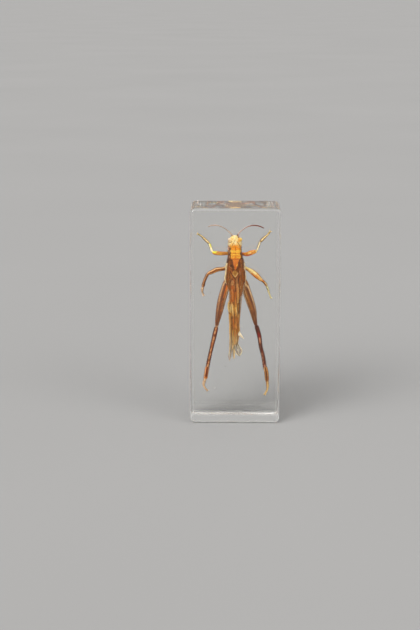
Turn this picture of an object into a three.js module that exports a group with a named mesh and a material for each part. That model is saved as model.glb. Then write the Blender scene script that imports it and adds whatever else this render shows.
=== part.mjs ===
// A display block of clear casting resin with a dried locust sealed inside it.
// The casting is one solid, standing on its small bottom face. The specimen has
// no outside surface of its own, so the block is the only body that touches
// anything. Millimetres, +Z up, +X to the right of someone facing the block.
// The origin is the centre of the bottom face; the broad front face looks along -Y.
import * as THREE from "three";

// Outside size of the finished casting
const BLOCK_WIDTH = 45; // along X
const BLOCK_DEPTH = 28; // along Y, front face to back face
const BLOCK_HEIGHT = 110; // along Z

// Edges taken off by sanding and polishing
const CORNER_RADIUS = 2.5; // the four short edges that run front to back
const RIM_RADIUS = 1.4; // the edges all round the front and back faces

// Segments in each quarter turn. The extrusion cuts an arc into twice its own
// curveSegments, so the corners ask it for half of theirs.
const CORNER_STEPS = 8;
const RIM_STEPS = 6;

// Outline of the broad face: a rectangle standing on y = 0 with four round corners.
function faceOutline(width, height, radius) {
  const right = width / 2;
  const inset = right - radius;
  const quarter = Math.PI / 2;
  const outline = new THREE.Shape();
  outline.moveTo(-inset, 0);
  outline.lineTo(inset, 0);
  outline.absarc(inset, radius, radius, -quarter, 0);
  outline.lineTo(right, height - radius);
  outline.absarc(inset, height - radius, radius, 0, quarter);
  outline.lineTo(-inset, height);
  outline.absarc(-inset, height - radius, radius, quarter, 2 * quarter);
  outline.lineTo(-right, radius);
  outline.absarc(-inset, radius, radius, 2 * quarter, 3 * quarter);
  return outline;
}

// The outline carried from the back face to the front face, with a rounded rim on
// both. The extrusion runs along its own +Z, so it is turned to run along -Y.
function castBlock() {
  const outline = faceOutline(BLOCK_WIDTH, BLOCK_HEIGHT, CORNER_RADIUS);
  const straight = BLOCK_DEPTH - 2 * RIM_RADIUS;
  const geometry = new THREE.ExtrudeGeometry(outline, {
    depth: straight,
    steps: 1,
    curveSegments: CORNER_STEPS / 2,
    bevelEnabled: true,
    bevelThickness: RIM_RADIUS,
    bevelSize: RIM_RADIUS,
    bevelOffset: -RIM_RADIUS,
    bevelSegments: RIM_STEPS,
  });
  geometry.translate(0, 0, -straight / 2);
  geometry.rotateX(Math.PI / 2);
  return geometry;
}

const clearResin = new THREE.MeshStandardMaterial({
  name: "clear_resin",
  color: 0xf1f3f2,
  roughness: 0.04,
  metalness: 0,
  transparent: true,
  opacity: 0.35,
});

const specimenBlock = new THREE.Group();
const resinBlock = new THREE.Mesh(castBlock(), clearResin);
resinBlock.name = "resin_block";
specimenBlock.add(resinBlock);

export default specimenBlock;
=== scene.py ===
"""A dried locust sealed in an upright block of clear casting resin.

The block stands on its small bottom face and looks along -Y. The locust hangs head up inside it,
back to the front. Shapes are worked out in millimetres and written to the meshes in metres.
"""
import math

import bpy
import numpy as np
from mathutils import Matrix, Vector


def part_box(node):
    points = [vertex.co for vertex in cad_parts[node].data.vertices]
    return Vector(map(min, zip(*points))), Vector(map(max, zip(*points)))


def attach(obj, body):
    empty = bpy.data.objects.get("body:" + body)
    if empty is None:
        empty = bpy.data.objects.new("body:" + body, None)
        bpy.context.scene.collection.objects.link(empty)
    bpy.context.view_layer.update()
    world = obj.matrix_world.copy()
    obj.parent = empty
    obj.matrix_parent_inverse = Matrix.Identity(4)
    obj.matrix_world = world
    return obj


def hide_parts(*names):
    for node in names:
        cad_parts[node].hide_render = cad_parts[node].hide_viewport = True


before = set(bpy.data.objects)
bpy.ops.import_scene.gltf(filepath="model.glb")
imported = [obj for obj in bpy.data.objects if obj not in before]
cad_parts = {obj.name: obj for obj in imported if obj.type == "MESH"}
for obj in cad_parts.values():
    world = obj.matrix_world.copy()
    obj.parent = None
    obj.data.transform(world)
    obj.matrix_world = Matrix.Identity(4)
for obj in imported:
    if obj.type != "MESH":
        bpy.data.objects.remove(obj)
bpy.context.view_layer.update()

MM = 0.001
TURN = 2 * math.pi
OUT_OF_BACK = (0.0, -1.0, 0.0)

BLOCK_LOW, BLOCK_HIGH = (np.array(corner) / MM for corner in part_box("resin_block"))
LEFT, RIGHT = -1, 1
SIDE_NAMES = {LEFT: "left", RIGHT: "right"}
ALL_ROUND = 3.0  # half width of a band that covers a limb from edge to edge
BAND_REACH = 1.6
BAND_FADE = 0.055
STROKE_REACH = 1.8


# ---------------------------------------------------------------- curves


def cubic(place, value, slope, at):
    """Cubic pieces between neighbouring places that pass through the values with the given slopes."""
    piece = np.clip(np.searchsorted(place, at, side="right") - 1, 0, len(place) - 2)
    step = place[piece + 1] - place[piece]
    u = (at - place[piece]) / step
    if value.ndim > 1:
        u, step = u[..., None], step[..., None]
    start = (1 + 2 * u) * (1 - u) ** 2 * value[piece] + u * (1 - u) ** 2 * step * slope[piece]
    end = u * u * (3 - 2 * u) * value[piece + 1] - u * u * (1 - u) * step * slope[piece + 1]
    return start + end


def through(stops, at):
    """Smooth value through (place, value) stops. The slope at a stop is the harmonic mean of the
    slopes on both sides, or nothing at a peak, so the curve never swings past a stop."""
    place, value = np.array(stops, float).T
    secant = np.diff(value) / np.diff(place)
    product = secant[:-1] * secant[1:]
    total = secant[:-1] + secant[1:]
    mean = np.where(product > 0, 2 * product / np.where(product > 0, total, 1), 0)
    slope = np.concatenate([secant[:1], mean, secant[-1:]])
    return cubic(place, value, slope, np.clip(at, place[0], place[-1]))


def route(points, at):
    """Points at fractions of a smooth way through the given points. Places are measured along the
    chords, and the slope at each point is that of the parabola through it and its neighbours."""
    points = np.array(points, float)
    chord = np.linalg.norm(np.diff(points, axis=0), axis=1)
    place = np.concatenate([[0], np.cumsum(chord)]) / chord.sum()
    return cubic(place, points, np.gradient(points, place, axis=0), at)


def dense_ends(count, share=0.85):
    """Fractions from 0 to 1 that lie closer together near both ends: u - share * sin(2 pi u) / 2 pi."""
    u = np.linspace(0, 1, count)
    return u - share * np.sin(TURN * u) / TURN


def unit(vector):
    """Vectors scaled to length one."""
    return vector / np.linalg.norm(vector, axis=-1, keepdims=True)


def signed_power(value, power):
    """The size of a value raised to a power, with its sign kept."""
    return np.sign(value) * np.abs(value) ** power


def hump(value, middle, half):
    """A smooth bell: one at the middle, about a third at the half distance."""
    return np.exp(-(((value - middle) / half) ** 2))


# ---------------------------------------------------------------- meshes


def squares(rows, columns, around):
    """Corner numbers of the quads between neighbouring points of a grid, and the row and column that
    each starts from. around joins the last column to the first."""
    across = columns if around else columns - 1
    row, column = (n.ravel() for n in np.meshgrid(np.arange(rows - 1), np.arange(across), indexing="ij"))
    here, follow, below = row * columns, (column + 1) % columns, (row + 1) * columns
    return np.stack([here + column, here + follow, below + follow, below + column], 1), row, column


class Piece:
    """One named piece, gathered from grids of points in millimetres.

    Each grid adds its quads, its UV map (column and row as fractions), a tint and three marks,
    numbers from 0 to 1 at each point that the materials read: how pale, how dark and how warm the
    skin is painted there, partly its own colour and partly painted light and shade. tint tells joined
    parts of one piece from each other."""

    def __init__(self):
        self.points = []
        self.faces = []
        self.spots = []
        self.tints = []
        self.marks = []
        self.count = 0

    def grid(self, points, wrap=False, tint=0.0, marks=(0.0, 0.0, 0.0), inward=False):
        """Quads between neighbouring points of a grid. wrap joins the last column to the first and
        closes both end rows on a pole, and then the faces are turned to point outwards."""
        rows, columns = points.shape[:2]
        across = columns if wrap else columns - 1
        quads, row, column = squares(rows, columns, wrap)
        u0, u1 = column / across, (column + 1) / across
        v0, v1 = row / (rows - 1), (row + 1) / (rows - 1)
        spots = np.stack([u0, v0, u1, v0, u1, v1, u0, v1], 1).reshape(-1, 4, 2)
        flat = points.reshape(-1, 3)
        faces, places = [quads], [spots]
        if wrap:
            poles = np.stack([points[0].mean(0), points[-1].mean(0)])
            ring = np.arange(columns)
            after = (ring + 1) % columns
            last = (rows - 1) * columns
            first_fan = np.stack([np.full(columns, rows * columns), after, ring], 1)
            last_fan = np.stack([np.full(columns, rows * columns + 1), last + ring, last + after], 1)
            u0, u1, um = ring / columns, (ring + 1) / columns, (ring + 0.5) / columns
            zero, one = np.zeros(columns), np.ones(columns)
            faces += [first_fan, last_fan]
            places += [np.stack([um, zero, u1, zero, u0, zero], 1).reshape(-1, 3, 2),
                       np.stack([um, one, u0, one, u1, one], 1).reshape(-1, 3, 2)]
            flat = np.concatenate([flat, poles])
            corners = flat[quads]
            first, second, third, fourth = (corners[:, corner] for corner in range(4))
            halves = (first, second, third), (first, third, fourth)
            volume = sum(np.einsum("ij,ij->", a, np.cross(b, c)) for a, b, c in halves)
            if (volume < 0) != inward:
                faces = [block[:, ::-1] for block in faces]
                places = [block[:, ::-1] for block in places]
        for block, spot in zip(faces, places):
            self.faces += (block + self.count).tolist()
            self.spots.append(spot.reshape(-1, 2))
        values = np.stack([np.broadcast_to(value, (rows, columns)).ravel() for value in (tint, *marks)], 1)
        if wrap:
            values = np.concatenate([values, values[:1], values[-1:]])
        self.points.append(flat)
        self.tints.append(values[:, 0])
        self.marks.append(values[:, 1:])
        self.count += len(flat)

    def carry(self, points, wide, deep, facing=OUT_OF_BACK, side=RIGHT, rows=40, sides=20, power=2.0,
              relief=None, tint=0.0, pale=(), dark=(), warm=()):
        """Rings of an oval section carried along a smooth route.

        At the fraction f of the route and the angle a round it, the point lies at
        centre + wide(f) cos(a) across + deep(f) sin(a) up, with the cosine and sine raised to
        2/power. up is the facing direction made square to the route, and across points away from
        the body. relief(f, a) lifts the skin outwards. Both ends close like half an ellipse. pale,
        dark and warm list the lines of each mark, and tint may be a function of f."""
        f = dense_ends(rows)
        centre = route(points, f)
        along = unit(np.gradient(centre, f, axis=0))
        up = unit(facing - along * (along @ np.array(facing, float))[:, None])
        across = side * np.cross(up, along)
        a = np.linspace(0, TURN, sides, endpoint=False)
        c = signed_power(np.cos(a), 2 / power)[None, :, None]
        s = signed_power(np.sin(a), 2 / power)[None, :, None]
        length = np.linalg.norm(np.diff(centre, axis=0), axis=1).sum()
        w, d = through(wide, f), through(deep, f)
        start, end = np.minimum(1, f * length / w[0]), np.minimum(1, (1 - f) * length / w[-1])
        close = np.sqrt(1 - (1 - start) ** 2) * np.sqrt(1 - (1 - end) ** 2)
        w, d = (np.maximum(size * close, 0.004)[:, None, None] for size in (w, d))
        f, a = f[:, None], a[None, :]
        lift = relief(f, a)[..., None] * close[:, None, None] if relief else 0
        out = c * across[:, None] + s * up[:, None]
        rings = centre[:, None] + w * c * across[:, None] + d * s * up[:, None] + lift * out
        seen = np.einsum("fai,fi->fa", rings - centre[:, None], side * unit(np.cross(OUT_OF_BACK, along)))
        seen = seen / np.abs(seen).max(axis=1, keepdims=True)
        marks = [lines(f, seen, bands) for bands in (pale, dark, warm)]
        self.grid(rings, wrap=True, tint=tint(f) if callable(tint) else tint, marks=marks)

    def make(self, name, material):
        """Writes the mesh object, in metres at the origin, and fixes it to the body."""
        mesh = bpy.data.meshes.new(name)
        mesh.from_pydata((np.concatenate(self.points) * MM).tolist(), [], self.faces)
        chart = mesh.uv_layers.new(name="UVMap")
        chart.data.foreach_set("uv", np.concatenate(self.spots).ravel())
        tint = mesh.attributes.new("tint", "FLOAT", "POINT")
        tint.data.foreach_set("value", np.concatenate(self.tints).astype(np.float32))
        marks = mesh.attributes.new("marks", "FLOAT_VECTOR", "POINT")
        marks.data.foreach_set("vector", np.concatenate(self.marks).astype(np.float32).ravel())
        mesh.shade_smooth()
        mesh.materials.append(material)
        made = bpy.data.objects.new(name, mesh)
        bpy.context.scene.collection.objects.link(made)
        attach(made, "root")
        return made


def wall(made, thickness):
    """Gives an open sheet a thickness in millimetres, half to each side."""
    solid = made.modifiers.new("wall", "SOLIDIFY")
    solid.thickness = thickness * MM
    solid.offset = 0
    return made


def lines(f, across, bands):
    """Marks that run along a limb. Each band (place, half, start, end, strength) has its strength near
    its own place across, between its start and its end, and is gone at BAND_REACH half widths and
    BAND_FADE past either end. Across, 1 is the outer or upper edge as seen from the front and -1 the
    other edge, and a place of two values drifts from the first to the second."""
    total = 0.0 * f * across
    for place, half, start, end, strength in bands:
        away = np.abs(across - np.interp(f, [start, end], np.broadcast_to(place, 2)))
        beyond = np.maximum(np.maximum(start - f, f - end), 0)
        inside = np.clip(BAND_REACH - away / half, 0, 1) * np.clip(1 - beyond / BAND_FADE, 0, 1)
        total = np.maximum(total, strength * inside)
    return total


def strokes(x, z, ways):
    """Marks drawn along smooth ways. Each way (half, strength, points) has its strength near its line
    through (x, z) points and is gone at STROKE_REACH half widths."""
    total = 0.0 * x * z
    for half, strength, points in ways:
        line = route(points, np.linspace(0, 1, 24))
        away = np.min(np.hypot(x[..., None] - line[:, 0], z[..., None] - line[:, 1]), axis=-1)
        total = np.maximum(total, strength * np.clip(STROKE_REACH - away / half, 0, 1))
    return total


def section(a, half, top, bottom, level, power):
    """A body section at the angle a from the back: x = half sin(a) and y = level - reach cos(a), with
    reach measured to the top on the back half and to the bottom on the belly half, and the sine and
    cosine raised to 2/power."""
    reach = np.where(np.cos(a) > 0, level - top, bottom - level)
    return half * signed_power(np.sin(a), 2 / power), level - reach * signed_power(np.cos(a), 2 / power)


def raised(x, y, z, lift, a):
    """Points of a body skin, lifted outwards at the angle a from the back."""
    return np.stack([x + lift * np.sin(a), y - lift * np.cos(a), z + 0 * a], -1)


def dome(centre, sizes, rows=24, sides=32, bulge=2.0):
    """An egg: at the height angle e and the turn a, centre + sizes * (cos e cos a, cos e sin a, sin e),
    with the cosine and sine of e raised to 2/bulge."""
    e = np.linspace(-0.499 * math.pi, 0.499 * math.pi, rows)[:, None]
    a = np.linspace(0, TURN, sides, endpoint=False)[None, :]
    belt = signed_power(np.cos(e), 2 / bulge)
    pole = signed_power(np.sin(e), 2 / bulge) + 0 * a
    return np.array(centre) + np.array(sizes) * np.stack([belt * np.cos(a), belt * np.sin(a), pole], -1)


# ---------------------------------------------------------------- shader maths


class Shade:
    """An output socket. Arithmetic on it adds Math nodes, and numbers may stand on either side."""

    def __init__(self, look, socket):
        self.look = look
        self.socket = socket

    def out(self, name):
        """Another output of the same node."""
        return Shade(self.look, self.socket.node.outputs[name])

    def __add__(self, other):
        return self.look.maths("ADD", self, other)

    def __sub__(self, other):
        return self.look.maths("SUBTRACT", self, other)

    def __mul__(self, other):
        return self.look.maths("MULTIPLY", self, other)

    def __truediv__(self, other):
        return self.look.maths("DIVIDE", self, other)

    def __rsub__(self, other):
        return self.look.maths("SUBTRACT", other, self)

    def __rtruediv__(self, other):
        return self.look.maths("DIVIDE", other, self)

    __radd__ = __add__
    __rmul__ = __mul__


def paint(red, green, blue):
    """A colour given by its screen values from 0 to 255, as the linear colour that a shader takes."""
    screen = (red / 255, green / 255, blue / 255)
    return tuple(v / 12.92 if v < 10 / 255 else ((v + 0.055) / 1.055) ** 2.4 for v in screen) + (1,)


class Look:
    """One material and its node tree."""

    def __init__(self, name):
        self.material = bpy.data.materials.new(name)
        self.material.use_nodes = True
        self.tree = self.material.node_tree
        self.tree.nodes.clear()

    def node(self, kind, settings, inputs, output=0):
        """Adds a node, sets its settings first, then gives its sockets values or links."""
        made = self.tree.nodes.new(kind)
        for name, value in settings.items():
            if name == "stops":
                self.stops(made.color_ramp, value)
            else:
                setattr(made, name, value)
        for name, value in inputs.items():
            if isinstance(value, Shade):
                self.tree.links.new(value.socket, made.inputs[name])
            else:
                made.inputs[name].default_value = value
        return Shade(self, made.outputs[output])

    def stops(self, ramp, stops):
        """Fills a colour ramp with (place, colour) stops."""
        while len(ramp.elements) < len(stops):
            ramp.elements.new(0.5)
        for element, (place, colour) in zip(ramp.elements, stops):
            element.position = place
            element.color = colour

    def maths(self, operation, *values):
        """A Math node on numbers or shades."""
        return self.node("ShaderNodeMath", {"operation": operation}, dict(enumerate(values)))

    def ramp(self, fraction, stops):
        """A colour picked from soft (place, colour) stops."""
        return self.node("ShaderNodeValToRGB", {"stops": stops}, {"Fac": fraction}, "Color")

    def mix(self, fraction, first, second, kind="MIX"):
        """The first colour at 0 and the second at 1."""
        settings = {"data_type": "RGBA", "blend_type": kind}
        return self.node("ShaderNodeMix", settings, {0: fraction, 6: first, 7: second}, 2)

    def step(self, value, low, high):
        """Zero below low, one above high and smooth between. low may be the larger one."""
        sockets = {"Value": value, "From Min": low, "From Max": high}
        return self.node("ShaderNodeMapRange", {"interpolation_type": "SMOOTHSTEP"}, sockets)

    def over(self, skin, colour, value, low, high, amount=1.0):
        """Lays a colour over the skin: none of it where the value is low, the amount where it is high."""
        return self.mix(self.step(value, low, high) * amount, skin, colour)

    def band(self, value, middle, half, soft):
        """One within half of the middle, falling to zero over the soft distance."""
        away = self.maths("ABSOLUTE", value - middle)
        return self.step(away, half + soft, half)

    def place(self):
        """Object coordinates in millimetres, as three shades."""
        spot = self.node("ShaderNodeTexCoord", {}, {}, "Object")
        parts = self.node("ShaderNodeSeparateXYZ", {}, {0: spot})
        return spot, parts / MM, parts.out("Y") / MM, parts.out("Z") / MM

    def chart(self):
        """The piece's own UV map, whole and as its column and row."""
        spot = self.node("ShaderNodeUVMap", {"uv_map": "UVMap"}, {}, "UV")
        parts = self.node("ShaderNodeSeparateXYZ", {}, {0: spot})
        return spot, parts, parts.out("Y")

    def tint(self):
        """The piece's own tint number."""
        return self.node("ShaderNodeAttribute", {"attribute_name": "tint"}, {}, "Fac")

    def marks(self):
        """The piece's own pale, dark and warm marks."""
        spot = self.node("ShaderNodeAttribute", {"attribute_name": "marks"}, {}, "Vector")
        parts = self.node("ShaderNodeSeparateXYZ", {}, {0: spot})
        return parts, parts.out("Y"), parts.out("Z")

    def noise(self, spot, scale, detail=3.0, rough=0.5, stretch=None):
        """Cloudy noise from 0 to 1. stretch scales each axis of the coordinates first."""
        if stretch:
            spot = self.node("ShaderNodeMapping", {}, {"Vector": spot, "Scale": stretch})
        sockets = {"Vector": spot, "Scale": scale, "Detail": detail, "Roughness": rough}
        return self.node("ShaderNodeTexNoise", {}, sockets, "Fac")

    def cells(self, spot, scale, feature="F1"):
        """Distance to the nearest point, or edge, of a scatter of cells."""
        settings = {"feature": feature}
        return self.node("ShaderNodeTexVoronoi", settings, {"Vector": spot, "Scale": scale}, "Distance")

    def bump(self, height, distance, strength=1.0):
        """A relief from a height, its full distance in millimetres."""
        sockets = {"Height": height, "Distance": distance * MM, "Strength": strength}
        return self.node("ShaderNodeBump", {}, sockets, "Normal")

    def finish(self, volume=None, **sockets):
        """Ends the material in one Principled shader. An underscore in a name stands for a space."""
        sockets = {name.replace("_", " "): value for name, value in sockets.items()}
        shaders = {"Surface": self.node("ShaderNodeBsdfPrincipled", {}, sockets, "BSDF")}
        if volume:
            shaders["Volume"] = volume
        last = self.tree.nodes.new("ShaderNodeOutputMaterial")
        for name, shader in shaders.items():
            self.tree.links.new(shader.socket, last.inputs[name])
        return self.material


# ---------------------------------------------------------------- colours

CREAM = paint(255, 228, 142)
IVORY = paint(246, 216, 162)
STRAW = paint(226, 170, 84)
OLIVE = paint(182, 138, 52)
HONEY = paint(255, 180, 40)
GOLD = paint(255, 156, 14)
TANGERINE = paint(232, 122, 12)
AMBER = paint(204, 120, 20)
RUST = paint(158, 82, 0)
UMBER = paint(98, 50, 0)
PITCH = paint(52, 24, 0)
GARNET = paint(134, 26, 8)
SMOKE = paint(166, 160, 128)
LIME = paint(232, 226, 70)
SHELL = paint(255, 236, 190)


# ---------------------------------------------------------------- finishes

SATIN_REACH = 1.3  # how far in from both of its faces an edge begins to lose its polish
SATIN_FULL = 0.9
SATIN_ROUGHNESS = 0.35


def clear_resin():
    """Polished casting resin: clear, faintly warm in the thick, with slow polishing waves and edges
    left a little satin."""
    look = Look("clear resin")
    spot, *place = look.place()
    waves = look.noise(spot, 55, 1.0)
    scuffs = look.noise(spot, 700, 2.0)
    relief = look.bump(waves + scuffs * 0.02, 0.05, 0.6)
    near = [look.step(half - look.maths("ABSOLUTE", at - middle), SATIN_REACH, SATIN_FULL)
            for at, half, middle in zip(place, (BLOCK_HIGH - BLOCK_LOW) / 2, (BLOCK_HIGH + BLOCK_LOW) / 2)]
    edge = look.step(near[0] + near[1] + near[2], 1.0, 2.0)
    tinge = {"Color": (0.95, 0.955, 0.93, 1), "Density": 10}
    haze = look.node("ShaderNodeVolumeAbsorption", {}, tinge, "Volume")
    return look.finish(haze, Base_Color=(0.99, 0.99, 0.985, 1), Roughness=edge * SATIN_ROUGHNESS, IOR=1.5,
                       Transmission_Weight=1.0, Normal=relief)


def cuticle(look, skin, pale, dark, warm, grain_scale=2600, gloss=0.3, alpha=1.0, lines_relief=0.0):
    """The end of every shell and wing finish: lays the warm, pale and dark marks over the skin with
    edges broken up by a grain, pits it, and gives it the soft gloss that a skin keeps under resin."""
    spot = look.place()[0]
    grain = look.noise(spot, grain_scale, 3.0, 0.6)
    clouds = look.noise(spot, grain_scale / 4, 3.0, 0.6)
    broken = (grain - 0.5) * 0.6 + (clouds - 0.5) * 0.6
    pale_mark, dark_mark, warm_mark = look.marks()
    skin = look.over(skin, warm, warm_mark + broken, 0.05, 1.0)
    skin = look.over(skin, pale, pale_mark + broken, 0.05, 1.0)
    skin = look.over(skin, dark, dark_mark + broken, 0.05, 1.0)
    skin = look.over(skin, dark, grain, 0.55, 0.35, 0.3)
    relief = look.bump(grain + clouds + lines_relief, 0.06, 0.6)
    return look.finish(Base_Color=skin, Roughness=gloss + grain * 0.25, Alpha=alpha, Normal=relief,
                       Specular_IOR_Level=0.22)


def head_skin():
    """Cream at the top of the head, deepening to honey at the neck and to amber on the face, flecked
    with gold, and with pale cream flecks that are painted highlights."""
    look = Look("head cuticle")
    spot, _, y, z = look.place()
    clouds = look.noise(spot, 600, 3.0, 0.6)
    level = look.step(z + (clouds - 0.5) * 3.0, 89.2, 94.6)
    stops = [(0.0, HONEY), (0.14, paint(252, 196, 96)), (0.34, paint(255, 214, 124)), (0.6, CREAM),
             (1.0, CREAM)]
    skin = look.ramp(level, stops)
    skin = look.over(skin, AMBER, y, 2.0, 6.0, 0.5)
    flecks = look.noise(spot, 1300, 2.0, 0.5)
    skin = look.over(skin, GOLD, flecks, 0.54, 0.66, 0.45)
    # pale cream flecks: painted highlights, small glints on the head
    skin = look.over(skin, paint(255, 240, 190), flecks, 0.46, 0.34, 0.6)
    return cuticle(look, skin, paint(255, 238, 186), RUST, paint(250, 166, 44), 2400)


def eye_skin(name, lit, shaded):
    """Compound eye: upright bands under a fine net of facets."""
    look = Look(name)
    spot, _, y, _ = look.place()
    bands = look.maths("SINE", (y + look.noise(spot, 500, 1.0) * 0.5) * 9.0) * 0.5 + 0.5
    skin = look.mix(bands * 0.8, lit, shaded)
    relief = look.bump(look.cells(spot, 9000), 0.03, 0.6)
    return look.finish(Base_Color=skin, Roughness=0.2 + bands * 0.1, Normal=relief, Specular_IOR_Level=0.4)


def antenna_skin(name, base, tip):
    """Feeler: pale near the head, darker outwards, with a dark ring at each joint."""
    look = Look(name)
    spot = look.place()[0]
    along = look.chart()[2]
    grain = look.noise(spot, 3000, 2.0)
    skin = look.over(base, tip, along + (grain - 0.5) * 0.2, 0.35, 0.65)
    joint = look.maths("COSINE", along * (TURN * ANTENNA_JOINTS)) * 0.5 + 0.5
    skin = look.over(skin, UMBER, joint, 0.8, 1.0, 0.3)
    relief = look.bump(grain, 0.03, 0.5)
    return look.finish(Base_Color=skin, Roughness=0.42, Normal=relief, Specular_IOR_Level=0.2)


def pronotum_skin():
    """Saddle: a gold disc with a ragged edge between mottled brown sides, narrow and redder behind."""
    look = Look("pronotum cuticle")
    spot, x, _, z = look.place()
    clouds = look.noise(spot, 420, 3.0, 0.6)
    grain = look.noise(spot, 1500, 3.0)
    stops = [(0.0, paint(222, 116, 30)), (0.3, paint(234, 132, 44)), (0.5, GOLD), (0.75, HONEY),
             (1.0, GOLD)]
    disc = look.ramp(look.step(z + (clouds - 0.5) * 3.0, 79.0, 89.5), stops)
    stops = [(0.0, PITCH), (0.45, UMBER), (0.75, paint(124, 62, 0)), (1.0, RUST)]
    flank = look.ramp(look.step(grain, 0.3, 0.7), stops)
    edge = look.step(z, 84.2, 82.6) + look.step(z, 82.6, 78.0) * 0.9
    off_middle = look.maths("ABSOLUTE", x - 0.2)
    ragged = (clouds - 0.5) * 1.2 + (grain - 0.5) * edge * 1.4
    skin = look.mix(look.step(off_middle + edge + ragged, 2.2, 2.75), disc, flank)
    lit = look.mix(look.step(off_middle, 2.4, 2.9), paint(255, 198, 60), paint(226, 170, 130))
    return cuticle(look, skin, lit, UMBER, paint(206, 98, 4), 2400)


def thorax_skin():
    """Rusty back and a straw-coloured breast. The pale mark is ivory, for the stripe along each flank."""
    look = Look("thorax cuticle")
    spot, _, y, _ = look.place()
    clouds = look.noise(spot, 600, 4.0, 0.6)
    skin = look.over(RUST, UMBER, clouds, 0.35, 0.65)
    skin = look.over(skin, STRAW, y + (clouds - 0.5) * 2.0, 1.8, 3.4, 0.85)
    return cuticle(look, skin, paint(252, 226, 170), UMBER, AMBER, 2400)


def scutellum_skin():
    """Small rusty plate between the wings. Its pale marks are straw-coloured and its warm ones olive."""
    look = Look("scutellum cuticle")
    spot = look.place()[0]
    clouds = look.noise(spot, 900, 3.0, 0.6)
    skin = look.over(RUST, paint(214, 140, 50), clouds, 0.35, 0.65)
    return cuticle(look, skin, paint(240, 194, 120), UMBER, OLIVE, 2400)


def abdomen_skin():
    """Straw-brown rings, each darker towards its hind edge, with a paler belly."""
    look = Look("abdomen cuticle")
    spot, _, y, z = look.place()
    clouds = look.noise(spot, 600, 4.0, 0.6)
    ring = look.maths("FRACT", (ABDOMEN_TOP - z) / ABDOMEN_RING)
    skin = look.over(AMBER, STRAW, y + clouds, 0.3, 2.6)
    skin = look.over(skin, RUST, ring + (clouds - 0.5) * 0.6, 0.5, 0.95, 0.8)
    skin = look.mix(look.band(ring, 0.06, 0.04, 0.06) * 0.5, skin, IVORY)
    return cuticle(look, skin, IVORY, UMBER, AMBER, 2400)


def limb_skin(name, core, pale, dark, warm):
    """Leg cuticle: a mottled core colour under the leg's own lines, which are partly painted
    highlights and painted shade. A tint of one darkens spine tips and claws."""
    look = Look(name)
    spot = look.place()[0]
    clouds = look.noise(spot, 1100, 3.0, 0.6)
    flecks = look.noise(spot, 1500, 2.0, 0.5)
    skin = look.over(core, warm, clouds, 0.35, 0.65, 0.6)
    skin = look.over(skin, pale, flecks, 0.56, 0.68, 0.35)
    skin = look.over(skin, dark, flecks, 0.44, 0.32, 0.4)
    skin = look.mix(look.tint(), skin, PITCH)
    return cuticle(look, skin, pale, dark, warm, 3000)


def mouth_skin():
    """Mouthparts: glossy amber, almost black where they bite."""
    look = Look("mouthpart cuticle")
    spot = look.place()[0]
    clouds = look.noise(spot, 900, 3.0)
    skin = look.over(AMBER, STRAW, clouds, 0.3, 0.7)
    skin = look.mix(look.tint(), skin, PITCH)
    return cuticle(look, skin, IVORY, UMBER, AMBER, 2600)


def tegmen_skin():
    """Leathery fore wing: rusty at its root, orange and gold along its middle and straw at its end,
    with blotches, long streaks, raised brown veins and a net of cross veins. A tint of one stands for
    clear wing."""
    look = Look("tegmen")
    spot, _, _, z = look.place()
    chart, across, along = look.chart()
    streaks = look.noise(chart, 1.0, 4.0, 0.6, (22.0, 5.0, 1.0))
    waves = look.noise(spot, 1.0, 2.0, 0.5, (900.0, 900.0, 240.0))
    stops = [(0.0, paint(236, 214, 160)), (0.09, paint(222, 190, 116)), (0.16, paint(214, 170, 70)),
             (0.24, paint(232, 150, 54)), (0.4, paint(222, 146, 46)), (0.52, paint(240, 184, 72)),
             (0.6, paint(214, 122, 26)), (0.72, paint(194, 96, 8)), (0.86, paint(168, 84, 4)), (1.0, RUST)]
    skin = look.ramp(look.step(z + (waves - 0.5) * 6.0, 33.0, 84.0), stops)
    grains = look.noise(chart, 1.0, 3.0, 0.6, (9.0, 6.0, 1.0))
    skin = look.over(skin, STRAW, grains, 0.5, 0.66, 0.55)
    skin = look.over(skin, UMBER, grains, 0.5, 0.36, 0.8)
    blotches = look.noise(spot, 1.0, 2.0, 0.5, (760.0, 760.0, 330.0))
    near = look.step(z, 54.0, 68.0) * 0.5 + 0.45
    skin = look.over(skin, paint(70, 22, 0), blotches, 0.53, 0.61, near)
    skin = look.over(skin, paint(222, 140, 50), blotches, 0.46, 0.36, near * 0.9)
    skin = look.over(skin, CREAM, streaks, 0.54, 0.68, 0.6)
    skin = look.over(skin, UMBER, streaks, 0.46, 0.34, 0.5)
    rib, *others = [look.band(across - along * drift, start, 0.006, 0.014) for start, drift in VEINS]
    for other in others:
        rib = look.maths("MAXIMUM", rib, other)
    skin = look.mix(rib * 0.5, skin, RUST)
    stretched = look.node("ShaderNodeMapping", {}, {"Vector": chart, "Scale": (16.0, 70.0, 1.0)})
    net = look.cells(stretched, 1.0, "DISTANCE_TO_EDGE")
    mesh = look.step(net, 0.09, 0.02)
    skin = look.mix(mesh * 0.4, skin, RUST)
    clear = look.tint() * (1.0 - rib * 0.8) * (1.0 - mesh * 0.5)
    skin = look.mix(clear, skin, SMOKE)
    stops = [(0.0, IVORY), (0.25, STRAW), (0.42, STRAW), (0.52, paint(252, 220, 146)), (0.66, STRAW),
             (1.0, paint(214, 146, 86))]
    lit = look.ramp(look.step(z, 34.0, 80.0), stops)
    alpha = 1.0 - clear * 0.72
    return cuticle(look, skin, lit, UMBER, paint(198, 96, 8), 2600, 0.32, alpha, rib + mesh * 0.5)


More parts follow.
